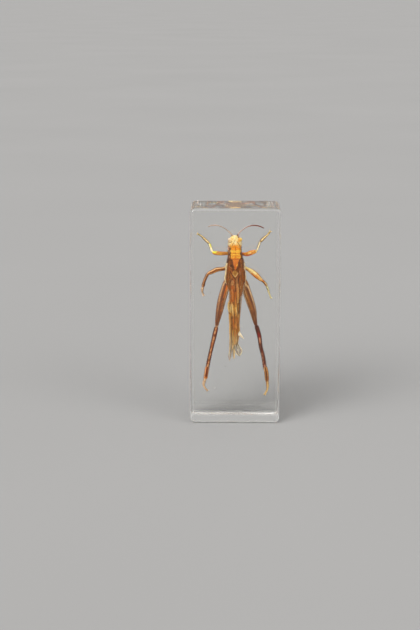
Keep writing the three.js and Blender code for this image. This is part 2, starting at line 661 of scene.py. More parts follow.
def membrane_skin():
    """Hind wing: thin, nearly clear, with an amber line along each fold. A tint of one stands for
    thick pale skin that hides what is behind it."""
    look = Look("wing membrane")
    spot = look.place()[0]
    across = look.chart()[1]
    clouds = look.noise(spot, 700, 4.0, 0.6)
    fold = look.maths("COSINE", across * (TURN * FOLDS)) * 0.5 + 0.5
    line = look.step(fold, 0.84, 1.0)
    skin = look.over(SMOKE, paint(206, 196, 164), clouds, 0.35, 0.65)
    skin = look.mix(line * 0.7, skin, AMBER)
    thick = look.maths("MAXIMUM", look.tint(), line * 0.5)
    skin = look.mix(look.tint(), skin, paint(255, 240, 204))
    return cuticle(look, skin, IVORY, RUST, AMBER, 2600, 0.3, thick * 0.62 + 0.36, line)


# ---------------------------------------------------------------- the casting

CORNER_RADIUS = 2.5
RIM_RADIUS = 1.4
FLAT_MARGIN = 0.02
BUBBLES = [  # the centre and radius of each
    ((-10.1, 1.0, 15.6), 0.32), ((-3.7, 2.0, 8.5), 0.24), ((-4.8, -2.0, 27.6), 0.26),
    ((4.2, 0.0, 14.4), 0.2), ((-4.5, 1.0, 5.3), 0.22), ((12.6, 4.0, 58.0), 0.18),
    ((-12.4, -3.0, 66.0), 0.16), ((8.6, -6.0, 101.5), 0.2),
]


def face_outline(inset):
    """Broad-face outline pulled in by inset, from the middle of the top edge round to it again: four
    quarter turns joined by straight runs. Points near the ends of each run keep the flats flat."""
    half = BLOCK_HIGH[0] - inset
    radius = CORNER_RADIUS - inset
    low, high = BLOCK_LOW[2] + inset, BLOCK_HIGH[2] - inset
    turn = np.linspace(0, math.pi / 2, 15)
    turn = np.concatenate([turn[:1], turn, turn[-1:]])
    out, rise = np.sin(turn) * radius, np.cos(turn) * radius
    out[0] -= FLAT_MARGIN
    rise[-1] -= FLAT_MARGIN
    x = half - radius + out
    z = high - radius + rise
    right_top = np.stack([x, z], 1)
    right_low = np.stack([x, low + high - z], 1)[::-1]
    right = np.concatenate([right_top, right_low])
    left = right[::-1] * (-1, 1)
    return np.concatenate([right, left])


def casting():
    """The resin block: its outline carried from the back face to the front. Near both faces the
    outline is pulled in by radius - radius * cos(turn) as the depth grows by radius * sin(turn).
    The flat faces are ladders of quads between the right and left halves of the last outline.
    Stray bubbles are round hollows whose faces look into them."""
    turn = np.linspace(0, math.pi / 2, 13)
    inset = RIM_RADIUS * (1 - np.cos(turn))
    depth = BLOCK_HIGH[1] - RIM_RADIUS * (1 - np.sin(turn))
    inset = np.concatenate([inset[:1], inset, inset[-1:] + FLAT_MARGIN])
    depth = np.concatenate([[depth[0] - FLAT_MARGIN], depth, depth[-1:]])
    insets = np.concatenate([inset[::-1], inset])
    depths = np.concatenate([depth[::-1], -depth])
    rings = np.array([np.insert(face_outline(i), 1, d, axis=1) for i, d in zip(insets, depths)])
    rows, columns = rings.shape[:2]
    quads = squares(rows, columns, True)[0][:, [1, 0, 3, 2]]
    rung = np.arange(columns // 2 - 1)
    ladder = np.stack([rung, rung + 1, columns - 2 - rung, columns - 1 - rung], 1)
    front = (rows - 1) * columns + ladder[:, ::-1]
    block = Piece()
    block.faces = np.concatenate([quads, ladder, front]).tolist()
    block.points.append(rings.reshape(-1, 3))
    block.count = rows * columns
    block.spots.append(block.points[0][np.array(block.faces)].reshape(-1, 3)[:, ::2] / BLOCK_HIGH[2])
    block.tints.append(np.zeros(block.count))
    block.marks.append(np.zeros((block.count, 3)))
    for centre, radius in BUBBLES:
        block.grid(dome(centre, (radius, radius, radius * 1.15), 14, 18), wrap=True, inward=True)
    made = block.make("resin_casting", clear_resin())
    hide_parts("resin_block")
    return made


# ---------------------------------------------------------------- head


def head():
    """Head capsule: upright egg rings stacked from the crown, at the back, to the mouth. At the
    depth y the ring is an oval in x and z between the neck and the face, fuller at the cheeks, with
    raised ridges down the face, a groove under each eye and a seam down the crown."""
    y = -4.35 + dense_ends(84, 0.9) * 10.0
    half = through([(-4.35, 0.0), (-4.25, 1.0), (-3.9, 1.9), (-3.0, 2.6), (-1.0, 3.1), (1.5, 3.3),
                    (3.5, 3.1), (4.9, 2.3), (5.5, 1.3), (5.65, 0.0)], y)
    face = through([(-4.35, 92.4), (-4.2, 93.7), (-3.8, 94.8), (-3.0, 95.35), (-1.0, 95.2), (2.0, 94.6),
                    (4.0, 93.9), (5.2, 93.0), (5.65, 92.0)], y)
    neck = through([(-4.35, 92.2), (-4.2, 89.6), (-3.8, 88.2), (-2.0, 87.6), (2.0, 88.0), (4.0, 89.0),
                    (5.2, 90.2), (5.65, 91.8)], y)
    a = np.linspace(0, TURN, 120, endpoint=False)[None, :]
    out_x, out_z = np.sin(a), np.cos(a)
    middle, reach = (face + neck)[:, None] / 2, (face - neck)[:, None] / 2
    x = half[:, None] * signed_power(out_x, 2 / 2.3) * (1 + 0.12 * hump(out_z, -0.35, 0.4))
    z = middle + reach * signed_power(out_z, 2 / 2.3)
    y = y[:, None] + 0 * a
    front = np.clip(out_z, 0, 1)
    ridge = 0.22 * (hump(x, 0.42, 0.16) + hump(x, -0.42, 0.16)) * front * hump(y, 0.5, 3.2)
    groove = -0.16 * hump(np.abs(x), 2.1 + 0.12 * y, 0.16) * front * hump(y, 2.0, 1.8)
    crown = 0.16 * hump(np.abs(x), 0.75 + 0.25 * (95.2 - z), 0.14) * (y < -2.0) * hump(z, 93.6, 1.4)
    seam = 0.1 * hump(x, 0, 0.1) * (y < -2.5) * hump(z, 91.8, 1.6)
    lift = ridge + groove
    back = y < 0
    pale = strokes(x, z, [(0.4, 0.9, [(-2.6, 91.6), (-3.2, 90.6)]),
                          (0.4, 0.6, [(-0.2, 95.2), (-0.2, 93.8)]), (0.25, 0.9, [(2.9, 91.8), (3.1, 90.6)]),
                          (0.3, 0.8, [(0.4, 92.6), (0.2, 91.2)])]) * back
    # The first dark stroke is a painted shadow in the socket between the right feeler's root and the right
    # eye.
    dark = strokes(x, z, [(0.3, 1.0, [(1.6, 94.8), (1.9, 94.5)]),
                          (0.13, 0.7, [(-0.7, 91.9), (-1.0, 91.2), (-1.4, 90.4)]),
                          (0.13, 0.6, [(-0.4, 92.9), (-0.3, 92.4)]),
                          (0.15, 0.8, [(1.2, 92.2), (1.8, 91.2), (2.6, 89.9)]),
                          # painted shade under the left eye, where it meets the head
                          (0.14, 0.9, [(-3.6, 91.9), (-2.4, 91.8), (-1.5, 92.4)]),
                          # painted shade along the front edge of the saddle, where it covers the neck
                          (0.16, 0.3, [(-2.6, 89.3), (-1.2, 90.1), (0.1, 90.6), (1.3, 90.1),
                                       (2.6, 89.5)])]) * back
    warm = strokes(x, z, [(0.45, 0.7, [(2.0, 93.6), (1.9, 92.4)]),
                          (0.4, 0.25, [(-2.2, 89.8), (0.1, 90.0), (2.2, 89.8)]),
                          (0.2, 0.6, [(-1.9, 94.3), (-1.2, 93.2)]),
                          (0.14, 0.5, [(0.2, 94.0), (0.0, 92.6)])]) * back
    capsule = Piece()
    capsule.grid(np.stack([x + lift * out_x - 0.15, y - crown + seam, z + lift * out_z], -1), wrap=True,
                 marks=(pale, dark, warm))
    capsule.make("head_capsule", head_skin())


def eyes():
    """Compound eyes: eggs that stand out of both sides of the head, narrower at the top and leaning
    outwards."""
    skins = {LEFT: eye_skin("left eye", paint(252, 226, 188), paint(238, 200, 150)),
             RIGHT: eye_skin("right eye", paint(255, 214, 110), paint(236, 178, 60))}
    heights = {LEFT: 93.0, RIGHT: 93.15}
    for side in (LEFT, RIGHT):
        eye = Piece()
        egg = dome((0, 0, 0), (1.05, 1.75, 1.0), 40, 48, 2.0)
        egg[..., 2] *= 1 - 0.1 * egg[..., 1]
        tilt = 0.24 * side
        x = egg[..., 0] * math.cos(tilt) - egg[..., 1] * math.sin(tilt)
        y = egg[..., 0] * math.sin(tilt) + egg[..., 1] * math.cos(tilt)
        eye.grid(np.stack([x + side * 2.5 - 0.15, y - 1.75, egg[..., 2] + heights[side]], -1), wrap=True)
        eye.make(f"compound_eye_{SIDE_NAMES[side]}", skins[side])


ANTENNA_JOINTS = 24
ANTENNA_ROUTES = {
    LEFT: [(-1.3, -2.3, 94.6), (-2.3, -3.0, 96.4), (-3.7, -3.6, 97.7), (-5.7, -4.2, 99.3),
           (-7.7, -4.4, 100.2), (-9.4, -4.3, 100.6), (-11.7, -4.0, 100.5), (-13.7, -3.4, 99.7)],
    RIGHT: [(0.9, -2.3, 94.6), (1.7, -3.0, 96.4), (2.6, -3.4, 97.5), (4.0, -4.0, 98.6), (5.8, -4.4, 99.8),
            (7.5, -4.4, 100.4), (9.8, -4.2, 100.6), (11.8, -3.8, 100.2), (14.3, -3.2, 99.1)],
}


def antennae():
    """Feelers: a slim round section carried along a curved route, swelling a little at each joint,
    on a thicker root joint."""
    skins = {LEFT: antenna_skin("left feeler", paint(214, 184, 162), paint(188, 156, 136)),
             RIGHT: antenna_skin("right feeler", paint(206, 168, 152), paint(120, 56, 40))}
    girths = {LEFT: [(0, 0.26), (0.3, 0.2), (0.8, 0.23), (1, 0.17)],
              RIGHT: [(0, 0.26), (0.35, 0.2), (0.7, 0.32), (1, 0.24)]}
    for side in (LEFT, RIGHT):
        feeler = Piece()
        points = ANTENNA_ROUTES[side]
        girth = girths[side]
        feeler.carry(points, girth, girth, side=side, rows=168, sides=12,
                     relief=lambda f, a: -0.035 * np.cos(TURN * ANTENNA_JOINTS * f) + 0 * a)
        root = [(0, 0.46), (1, 0.38)]
        feeler.carry(route(points, np.array([0.0, 0.04, 0.09])), root, root, side=side, rows=14, sides=16)
        feeler.make(f"antenna_{SIDE_NAMES[side]}", skins[side])


def mouthparts():
    """Upper lip, a pair of biting jaws and two pairs of jointed palps below the face."""
    skin = mouth_skin()
    lip = Piece()
    lip.grid(dome((-0.1, 5.5, 93.0), (1.7, 0.95, 0.62), 20, 32, 2.6), wrap=True)
    lip.grid(dome((-0.1, 6.3, 92.7), (1.35, 0.85, 0.45), 20, 32, 2.6), wrap=True)
    lip.make("clypeus_and_labrum", skin)
    for side in (LEFT, RIGHT):
        jaw = Piece()
        teeth = dome((side * 1.15 - 0.1, 5.9, 91.9), (1.2, 1.0, 0.7), 20, 28, 2.4)
        jaw.grid(teeth, wrap=True, tint=hump(teeth[..., 1], 6.9, 0.5))
        jaw.make(f"mandible_{SIDE_NAMES[side]}", skin)
        palp = Piece()
        long_palp = [(side * 1.9 - 0.1, 5.3, 91.0), (side * 2.6, 6.3, 91.2), (side * 2.4, 7.2, 92.2),
                     (side * 2.0, 7.5, 93.3)]
        short_palp = [(side * 0.9 - 0.1, 5.9, 90.7), (side * 1.2, 6.9, 90.8), (side * 1.0, 7.4, 91.7)]
        girth = [(0, 0.24), (0.8, 0.2), (1, 0.24)]
        for points, joints in ((long_palp, 5), (short_palp, 3)):
            palp.carry(points, girth, girth, (0.0, -1.0, 0.2), side, 50, 12,
                       relief=lambda f, a: -0.05 * np.cos(TURN * joints * f) + 0 * a)
        palp.make(f"palps_{SIDE_NAMES[side]}", skin)


# ---------------------------------------------------------------- body

PRONOTUM_GROOVES = [(88.1, 0.1), (86.3, 0.2), (85.2, 0.16), (83.6, 0.24)]  # height and depth


def pronotum():
    """Saddle over the front of the thorax: a plate bent round the body from one lower edge over the
    back to the other. Its front edge rises to a point behind the head, its hind edge runs back to
    a point between the wings, a keel follows the midline and grooves cross the disc."""
    along = np.linspace(0, 1, 140)[:, None]
    a = np.linspace(-1.0, 1.0, 170)[None, :] * math.radians(122)
    turned = np.abs(a)
    hind = 82.7 - 4.6 * np.clip(1 - turned / 0.36, 0, 1) ** 0.9
    hind = hind + 0.4 * hump(turned, 0.75, 0.25) - 0.5 * hump(turned, 1.5, 0.4)
    front = 89.1 + 1.5 * np.clip(1 - turned / 0.65, 0, 1) + 0.5 * hump(turned, 1.9, 0.4)
    z = front + (hind - front) * along
    half = through([(78, 4.2), (82, 4.25), (84, 3.75), (86, 3.45), (88, 3.4), (90.5, 3.25)], z)
    top = through([(78, -4.95), (82, -4.95), (85, -4.75), (88, -4.6), (90.5, -4.4)], z)
    x, y = section(a, half, top, 4.0, -0.4, 2.5)
    x = x + through([(82, 0.1), (87, -0.3)], z)
    lift = 0.2 * hump(a, 0, 0.045) + 0.12 * hump(turned, 0.62, 0.06) * (z > 81)
    warm = 0.0 * z
    for height, depth in PRONOTUM_GROOVES:
        groove = hump(z + 0.5 * np.abs(np.sin(a)), height, 0.2) * hump(a, 0, 0.9)
        lift = lift - depth * groove
        # the grooves are painted a deeper orange in step with their depth: painted shade in the grooves
        warm = np.maximum(warm, groove * depth * 4.5)
    rims = 0.14 * hump(along, 0.0, 0.02) + 0.1 * hump(along, 1.0, 0.015) + 0.1 * hump(turned, 2.1, 0.04)
    lift = lift + rims
    dark = strokes(x, z, [
        (0.3, 0.95, [(-2.8, 85.9), (-2.6, 85.3)]), (0.34, 1.0, [(2.6, 86.3), (2.8, 85.9)]),
        (0.26, 0.9, [(-2.1, 82.9), (-1.6, 81.8), (-1.1, 80.0), (-0.5, 78.0)]),
        (0.26, 0.85, [(2.3, 82.9), (1.9, 81.6), (1.5, 80.0), (0.9, 78.2)]),
        (0.35, 0.7, [(-3.6, 82.9), (-2.6, 81.8)]), (0.35, 0.6, [(3.6, 82.4), (2.8, 81.4)]),
        (0.2, 0.6, [(-2.8, 88.9), (-2.6, 87.0)]), (0.2, 0.6, [(2.9, 88.6), (2.9, 87.0)]),
        (0.14, 0.25, [(-2.4, 89.0), (-1.2, 89.5), (0.0, 89.2), (1.3, 89.6), (2.4, 89.2)])])
    pale = strokes(x, z, [(0.5, 0.9, [(-2.2, 87.6), (-0.5, 87.4)]), (0.5, 0.8, [(0.7, 87.4), (2.2, 87.6)]),
                          (0.2, 0.8, [(-2.0, 84.7), (-0.6, 84.7)]), (0.25, 0.8, [(0.8, 84.5), (2.2, 84.3)]),
                          (0.2, 0.6, [(-2.0, 85.8), (2.0, 85.8)]), (0.3, 1.0, [(-3.4, 89.0), (-3.3, 88.3)]),
                          (0.13, 0.7, [(-3.1, 87.6), (-2.9, 84.0)]),
                          (0.3, 0.6, [(1.0, 80.9), (0.8, 80.2)])])
    middle = strokes(x, z, [(0.16, 0.8, [(0.1, 89.4), (0.1, 86.2)]),
                            (0.12, 0.5, [(0.1, 86.2), (0.1, 83.6)]),
                            (0.2, 0.6, [(-2.0, 83.5), (2.2, 83.5)]),
                            (0.3, 0.5, [(-0.2, 80.6), (0.1, 78.4)])])
    warm = np.maximum(warm, middle)
    saddle = Piece()
    saddle.grid(raised(x, y, z, lift, a), marks=(pale, dark, warm))
    wall(saddle.make("pronotum", pronotum_skin()), 0.22)


def thorax():
    """Thorax under the saddle and the wings: body rings with slanting side seams, a breast crossed by
    seams, and flanks that bulge out past the wings above the hind legs."""
    z = 89.4 - dense_ends(160, 0.6) * 22.4
    half = through([(67, 2.2), (68.5, 3.2), (70, 4.4), (71.6, 5.3), (73.8, 5.5), (76.4, 5.2), (79, 5.1),
                    (81, 4.7), (83, 4.0), (86, 3.4), (89.4, 2.2)], z)
    top = through([(67, -2.2), (70, -3.2), (76, -3.9), (80, -4.1), (86, -3.9), (89.4, -3.0)], z)
    bottom = through([(67, 3.2), (70, 4.4), (76, 5.0), (82, 4.6), (86, 4.2), (89.4, 2.8)], z)
    a = np.linspace(0, TURN, 144, endpoint=False)[None, :]
    sine, cosine = np.sin(a), np.cos(a)
    z = z[:, None] + 0 * a
    half, top, bottom = (size[:, None] for size in (half, top, bottom))
    slanted = sum(hump(z + 2.2 * cosine, high, 0.16) for high in (80.2, 77.6, 75.0, 72.2))
    breast = hump(sine, 0, 0.05) + sum(hump(z, high, 0.14) for high in (83.0, 78.6, 74.6, 70.6))
    lift = -0.16 * slanted * sine**2 - 0.12 * breast * np.clip(-cosine, 0, 1) ** 2
    x, y = section(a, half, top, bottom, -0.2, 2.5)
    strip_left = 0.8 * through([(70, 0.6), (75, 0.85), (80, 1.0)], z)
    strip_right = through([(70, 0.18), (72, 0.3), (75.8, 0.28), (76.6, 0.06), (77.4, 0.3), (78.6, 0.66),
                           (81, 0.4)], z)
    strip = np.where(sine < 0, strip_left, strip_right)
    pale = np.clip(1.5 - (half - np.abs(x)) / strip, 0, 1) * np.clip((81.4 - z) * 3, 0, 1)
    pale = pale * (z > 70.4) * (y < 1.5)
    # the side seams are painted dark in step with their depth: painted shade in the seams
    dark = np.clip(slanted * sine**2 * 0.9, 0, 1)
    body = Piece()
    body.grid(raised(x + 0.05, y, z, lift, a), wrap=True, marks=(pale, dark, breast * 0.5))
    body.make("thorax", thorax_skin())


def scutellum():
    """Small shield between the wing roots, with a raised rim round a hollow. Across it u and down it v
    run from -1 to 1, and rim grows from the middle to the edge. The rim is pale where it closes in a V
    below."""
    v = np.linspace(-1, 1, 41)[:, None]
    u = np.linspace(-1, 1, 41)[None, :]
    width = 1.35 * np.where(v < 0, 1 - np.abs(v) ** 2.4, 1 - np.abs(v) ** 1.3) + 0.03
    reach = np.maximum(np.abs(u), 0 * v)
    rim = np.maximum(reach ** 2, np.abs(v) ** 3 + 0 * u)
    x = -0.1 + 0.12 * v + width * u
    z = 76.1 - 1.75 * v + 0 * u
    y = -4.6 - 0.28 * hump(rim, 0.72, 0.3) + 0.1 * reach + 0.3 * np.abs(v) ** 3
    plate = Piece()
    pale = np.clip(0.5 + v + 0.4 * u, 0.1, 1) * hump(rim, 0.8, 0.3)
    dark = 0.35 * hump(rim, 0.0, 0.15)
    warm = 0.8 * hump(rim, 0.35, 0.3)
    plate.grid(np.stack([x, y, z], -1), marks=(pale, dark, warm))
    wall(plate.make("scutellum", scutellum_skin()), 0.3)


ABDOMEN_TOP = 69.5
ABDOMEN_RING = 3.05


def abdomen():
    """Ten overlapping rings that taper to the tail. Within each ring the skin flares towards the
    hind edge and then steps in, and a fold runs along each side. Two feelers and four valves end it."""
    z = ABDOMEN_TOP - dense_ends(300, 0.4)[:, None] * 29.5
    half = through([(40, 0.4), (41, 1.0), (46, 1.6), (56, 2.1), (64, 2.4), (69.5, 2.3)], z)
    top = through([(40, -0.4), (41, -1.0), (46, -1.9), (56, -2.5), (64, -2.8), (69.5, -2.4)], z)
    bottom = through([(40, 0.8), (41, 1.4), (46, 2.3), (56, 3.0), (64, 3.6), (69.5, 3.3)], z)
    a = np.linspace(0, TURN, 72, endpoint=False)[None, :]
    x, y = section(a, half, top, bottom, 0.2, 2.1)
    phase = np.mod((ABDOMEN_TOP - z) / ABDOMEN_RING, 1)
    flare = 0.24 * phase * np.clip((1 - phase) / 0.08, 0, 1) * (z > 41.5)
    fold = -0.16 * (hump(a, 1.72, 0.08) + hump(a, TURN - 1.72, 0.08)) * (z > 42)
    body = Piece()
    body.grid(raised(x + 0.05, y, z, flare + fold, a), wrap=True)
    thin, thick = [(0, 0.3), (1, 0.1)], [(0, 0.4), (1, 0.16)]
    for side in (LEFT, RIGHT):
        feeler = [(side * 0.7, -0.5, 41.0), (side * 1.0, -0.7, 40.2), (side * 1.1, -0.8, 39.3)]
        body.carry(feeler, thin, thin, side=side, rows=16, sides=10)
        for depth in (0.5, 1.3):
            valve = [(side * 0.35, depth, 41.4), (side * 0.4, depth + 0.1, 39.8),
                     (side * 0.3, depth + 0.2, 38.6)]
            body.carry(valve, thick, thick, side=side, rows=20, sides=12,
                       dark=[(0, ALL_ROUND, 0.7, 1, 1.0)])
    body.make("abdomen", abdomen_skin())


# ---------------------------------------------------------------- wings

# Where each vein starts across the wing's root, and how far it drifts by the end
VEINS = [(0.07, 0.02), (0.15, 0.05), (0.24, 0.06), (0.34, 0.02), (0.42, 0.06), (0.52, 0.0), (0.6, 0.05),
         (0.72, -0.02), (0.83, -0.04), (0.93, -0.02)]
WING_ROOT = 83.0
WING_EDGE = {  # the half width at each height
    LEFT: [(30, 2.4), (33, 3.0), (38, 2.6), (46, 2.7), (53, 2.9), (55.5, 3.15), (57.6, 3.6), (60, 3.4),
           (62.5, 2.6), (65.4, 2.5), (67.6, 3.1), (69.4, 3.7), (71, 3.9), (73, 3.5), (79, 3.1), (82, 3.1),
           (83, 2.9)],
    RIGHT: [(40, 1.7), (43, 2.1), (46, 2.25), (49, 2.15), (53, 2.2), (57, 2.3), (62, 2.3), (65.4, 3.3),
            (68, 3.8), (71, 3.9), (74, 3.5), (79, 3.3), (82, 3.2), (83, 3.0)],
}
WING_END = {  # the height of the end, by the fraction across the wing
    LEFT: [(0, 39.6), (0.1, 37.8), (0.2, 36.0), (0.25, 32.4), (0.32, 31.6), (0.4, 32.6), (0.45, 34.4),
           (0.52, 38.0), (0.56, 41.5), (0.6, 40.5), (0.66, 34.0), (0.72, 31.0), (0.85, 30.4), (1, 31.6)],
    RIGHT: [(0, 38.4), (0.2, 39.2), (0.35, 39.6), (0.55, 40.6), (0.72, 42.4), (0.85, 43.6), (1, 44.6)],
}
WING_PALE = {  # the strokes of each mark, on the wing as it lies
    LEFT: [(0.2, 0.7, [(-3.1, 79.8), (-2.1, 79.2), (-1.1, 78.3)]),
           (0.25, 0.6, [(-3.5, 77.2), (-3.4, 73.8)]), (0.6, 0.75, [(-1.3, 72.0), (-1.5, 70.8)]),
           (0.14, 0.7, [(-2.6, 68.0), (-2.5, 65.0), (-2.6, 62.2)]),
           (0.3, 1.3, [(-3.1, 61.6), (-3.5, 58.8), (-3.2, 56.2)]),
           (0.3, 0.85, [(-1.5, 60.2), (-1.3, 57.0), (-1.0, 54.4)]),
           (0.34, 0.6, [(-2.4, 60.0), (-2.4, 56.0)]),
           (0.3, 1.2, [(-2.8, 54.4), (-2.6, 50.0), (-2.5, 45.0)]),
           (0.22, 1.5, [(-2.5, 44.4), (-2.4, 38.0), (-2.8, 33.4), (-2.3, 31.0)]),
           (0.3, 0.5, [(-1.6, 68.0), (-1.4, 63.0)]),
           (0.3, 1.3, [(-1.05, 38.6), (-0.85, 35.0), (-0.85, 31.6)])],
    RIGHT: [(0.2, 0.7, [(0.9, 74.0), (1.0, 71.0), (1.1, 68.4)]),
            (0.4, 0.8, [(1.4, 70.6), (1.4, 66.0), (1.4, 61.4)]),
            (0.2, 0.6, [(1.4, 78.6), (2.2, 77.4), (2.6, 75.8)]), (0.16, 0.6, [(3.0, 80.8), (2.8, 79.2)]),
            (0.26, 0.75, [(0.4, 58.6), (0.9, 56.0), (1.5, 53.8)]),
            (0.16, 0.8, [(2.3, 55.8), (2.1, 51.0), (2.1, 47.0)]), (0.3, 0.6, [(0.2, 52.0), (0.6, 48.0)]),
            (0.4, 0.5, [(0.6, 43.0), (0.5, 40.6)])],
}
WING_DARK = {
    LEFT: [(0.22, 0.85, [(-2.6, 77.4), (-1.5, 75.4), (-0.3, 73.6)]),
           (0.2, 0.9, [(-0.05, 73.8), (0.1, 71.0), (0.2, 67.0)]),
           (0.26, 0.7, [(-2.5, 72.8), (-2.6, 70.0), (-2.4, 67.6)]),
           (0.3, 0.9, [(-1.9, 80.4), (-2.4, 79.9)]), (0.24, 0.7, [(-2.8, 76.2), (-2.7, 73.4)]),
           (0.3, 0.6, [(-1.3, 76.4), (-0.8, 75.2)]),
           (0.16, 0.7, [(-0.4, 67.0), (-0.3, 62.0), (-0.2, 59.0)]),
           (0.12, 0.6, [(-2.1, 66.4), (-1.9, 61.6)]),
           (0.13, 0.7, [(-1.9, 59.0), (-1.9, 56.0), (-1.5, 53.0)]),
           (0.15, 0.8, [(-0.5, 57.0), (-0.2, 54.0), (-0.4, 50.0)]),
           (0.15, 0.8, [(-1.9, 53.8), (-1.5, 49.4)]), (0.13, 0.8, [(-1.8, 50.0), (-1.8, 44.0)]),
           (0.1, 0.5, [(-1.0, 49.0), (-0.7, 44.0)])],
    RIGHT: [(0.22, 0.85, [(1.8, 77.8), (1.0, 75.6), (0.3, 73.6)]),
            (0.2, 0.9, [(0.15, 73.4), (0.3, 70.0), (0.35, 66.6)]),
            (0.22, 0.7, [(1.7, 75.6), (1.8, 72.0), (1.9, 69.2)]),
            (0.18, 0.7, [(2.9, 77.0), (3.0, 73.0), (2.7, 70.0)]), (0.26, 0.8, [(2.2, 80.8), (2.5, 79.4)]),
            (0.3, 0.8, [(2.3, 62.4), (2.3, 58.0), (2.0, 55.6)]), (0.16, 0.6, [(0.5, 66.0), (0.6, 61.0)]),
            (0.14, 0.7, [(1.5, 58.6), (1.2, 55.0), (0.4, 53.0)]), (0.13, 0.6, [(1.3, 50.0), (1.1, 46.0)]),
            (0.16, 0.6, [(2.2, 69.0), (2.2, 64.0)])],
}
WING_WARM = {
    LEFT: [(0.6, 0.8, [(-1.4, 69.4), (-1.6, 66.0), (-1.4, 62.2)]),
           (0.3, 0.6, [(-0.6, 53.0), (-0.4, 47.0), (0.0, 43.6)]),
           (0.26, 0.7, [(-1.5, 80.6), (-1.1, 79.0), (-0.7, 77.6)]),
           (0.3, 0.6, [(-1.9, 77.4), (-2.0, 74.6)]), (0.3, 0.6, [(-2.9, 79.4), (-2.9, 77.6)]),
           (0.24, 0.6, [(-0.6, 73.4), (-0.6, 71.0)])],
    RIGHT: [(0.3, 0.6, [(0.6, 69.0), (0.6, 64.0)]), (0.34, 0.6, [(1.0, 53.0), (0.8, 48.0), (0.8, 44.6)]),
            (0.3, 0.9, [(1.7, 81.0), (1.3, 79.2), (0.9, 77.4)]), (0.3, 0.7, [(2.5, 78.6), (2.6, 76.4)]),
            (0.3, 0.6, [(2.4, 73.4), (2.3, 70.0)]), (0.26, 0.6, [(0.9, 76.4), (1.3, 74.4)])],
}


def fore_wing(side, over, rows=340, columns=110):
    """Fore wing folded over the back. Along the wing by s and across it by t, the section is a
    quarter of a rounded box: it lies flat from the midline out, bends over and runs down the flank
    to the outer edge, which first rides above the hips. Veins and cross veins stand up as ridges,
    and the end is ragged. The outline, the end and the markings of each side are its own."""
    s = np.linspace(0, 1, rows)[:, None]
    t = np.linspace(0, 1, columns)[None, :]
    end = through(WING_END[side], t) + 0.25 * np.sin(31 * t) * np.sin(57 * t + 2)
    z = WING_ROOT - (WING_ROOT - end) * s
    half = through(WING_EDGE[side], z)
    top = through([(30, -2.3), (38, -2.9), (52, -3.8), (68, -4.5), (79, -4.75), (83, -4.4)], z)
    outer = through([(30, 0.6), (36, 1.6), (45, 2.4), (58, 2.4), (65, 1.4), (69, -0.6), (72, -2.0),
                     (80, -2.7), (83, -3.3)], z)
    first = through([(30, 0.42), (36, 0.2), (42, -0.06), (72.6, -0.06), (73.4, 0.02), (75, 0.2), (77, 0.42),
                     (79, 0.48), (83, 0.5)], z)
    phi = first + (1.57 - first) * t
    bend = 2 / 2.5
    x = half * signed_power(np.sin(phi), bend)
    y = top + (outer - top) * (1 - signed_power(np.cos(phi), bend))
    lift = over + 0.06 * np.sin(0.9 * z + 5 * t) * np.clip((70 - z) / 10, 0, 1)
    for start, drift in VEINS:
        lift = lift + 0.14 * hump(t, start + drift * s, 0.01)
    cross_veins = hump(np.mod(s * 95 + np.sin(25 * t), 1), 0.5, 0.16) * hump(np.mod(t * 16, 1), 0.5, 0.6)
    lift = lift + 0.045 * cross_veins
    x = side * (x + lift * np.sin(phi)) + 0.1
    y = y - lift * np.cos(phi)
    marks = [strokes(x, z, ways[side]) for ways in (WING_PALE, WING_DARK, WING_WARM)]
    flank = np.clip((np.abs(t) - 0.86) / 0.1, 0, 1) * np.clip((44 - z) / 3, 0, 1)
    slit = strokes(x, z, [(0.2, 1.5, [(-1.85, 45.0), (-1.9, 40.0), (-2.0, 32.6)])]) if side == LEFT else 0
    wing = Piece()
    wing.grid(np.stack([x, y, z], -1), marks=marks, tint=np.clip(np.maximum(flank * 0.6, slit), 0, 1))
    wall(wing.make(f"tegmen_{SIDE_NAMES[side]}", tegmen_skin()), 0.1)


def torn_strip(skin):
    """Pointed strip of the right fore wing's edge, bent outwards and forwards where the wing broke off.
    It narrows along its way to a point and is bowed across."""
    f = np.linspace(0, 1, 40)
    centre = route([(1.7, -2.0, 45.3), (2.5, -2.3, 44.4), (3.5, -2.7, 43.4), (4.65, -3.1, 42.2)], f)
    width = through([(0, 1.05), (0.3, 0.78), (0.65, 0.42), (1, 0.03)], f)[:, None, None]
    t = np.linspace(-1, 1, 14)[None, :, None]
    sheet = centre[:, None] + t * width * np.array([0.55, 0.28, 0.8])
    strip = Piece()
    strip.grid(sheet - 0.25 * (1 - t**2) * width * np.array([0.3, 1.0, 0.0]), tint=1.0)
    wall(strip.make("tegmen_right_torn_strip", skin), 0.14)


FOLDS = 9
MEMBRANE_EDGE = {  # the half width at each height
    LEFT: [(31, 0.9), (36, 1.4), (45, 2.1), (53, 2.75), (57.2, 3.2), (60, 3.3), (63, 3.25), (66, 3.35),
           (69, 3.5), (74, 3.0)],
    RIGHT: [(36, 1.0), (45, 2.1), (50.8, 2.3), (53.5, 2.5), (56, 2.7), (58.6, 2.95), (62, 3.3), (66, 3.9),
            (69, 4.3), (74, 3.6)],
}


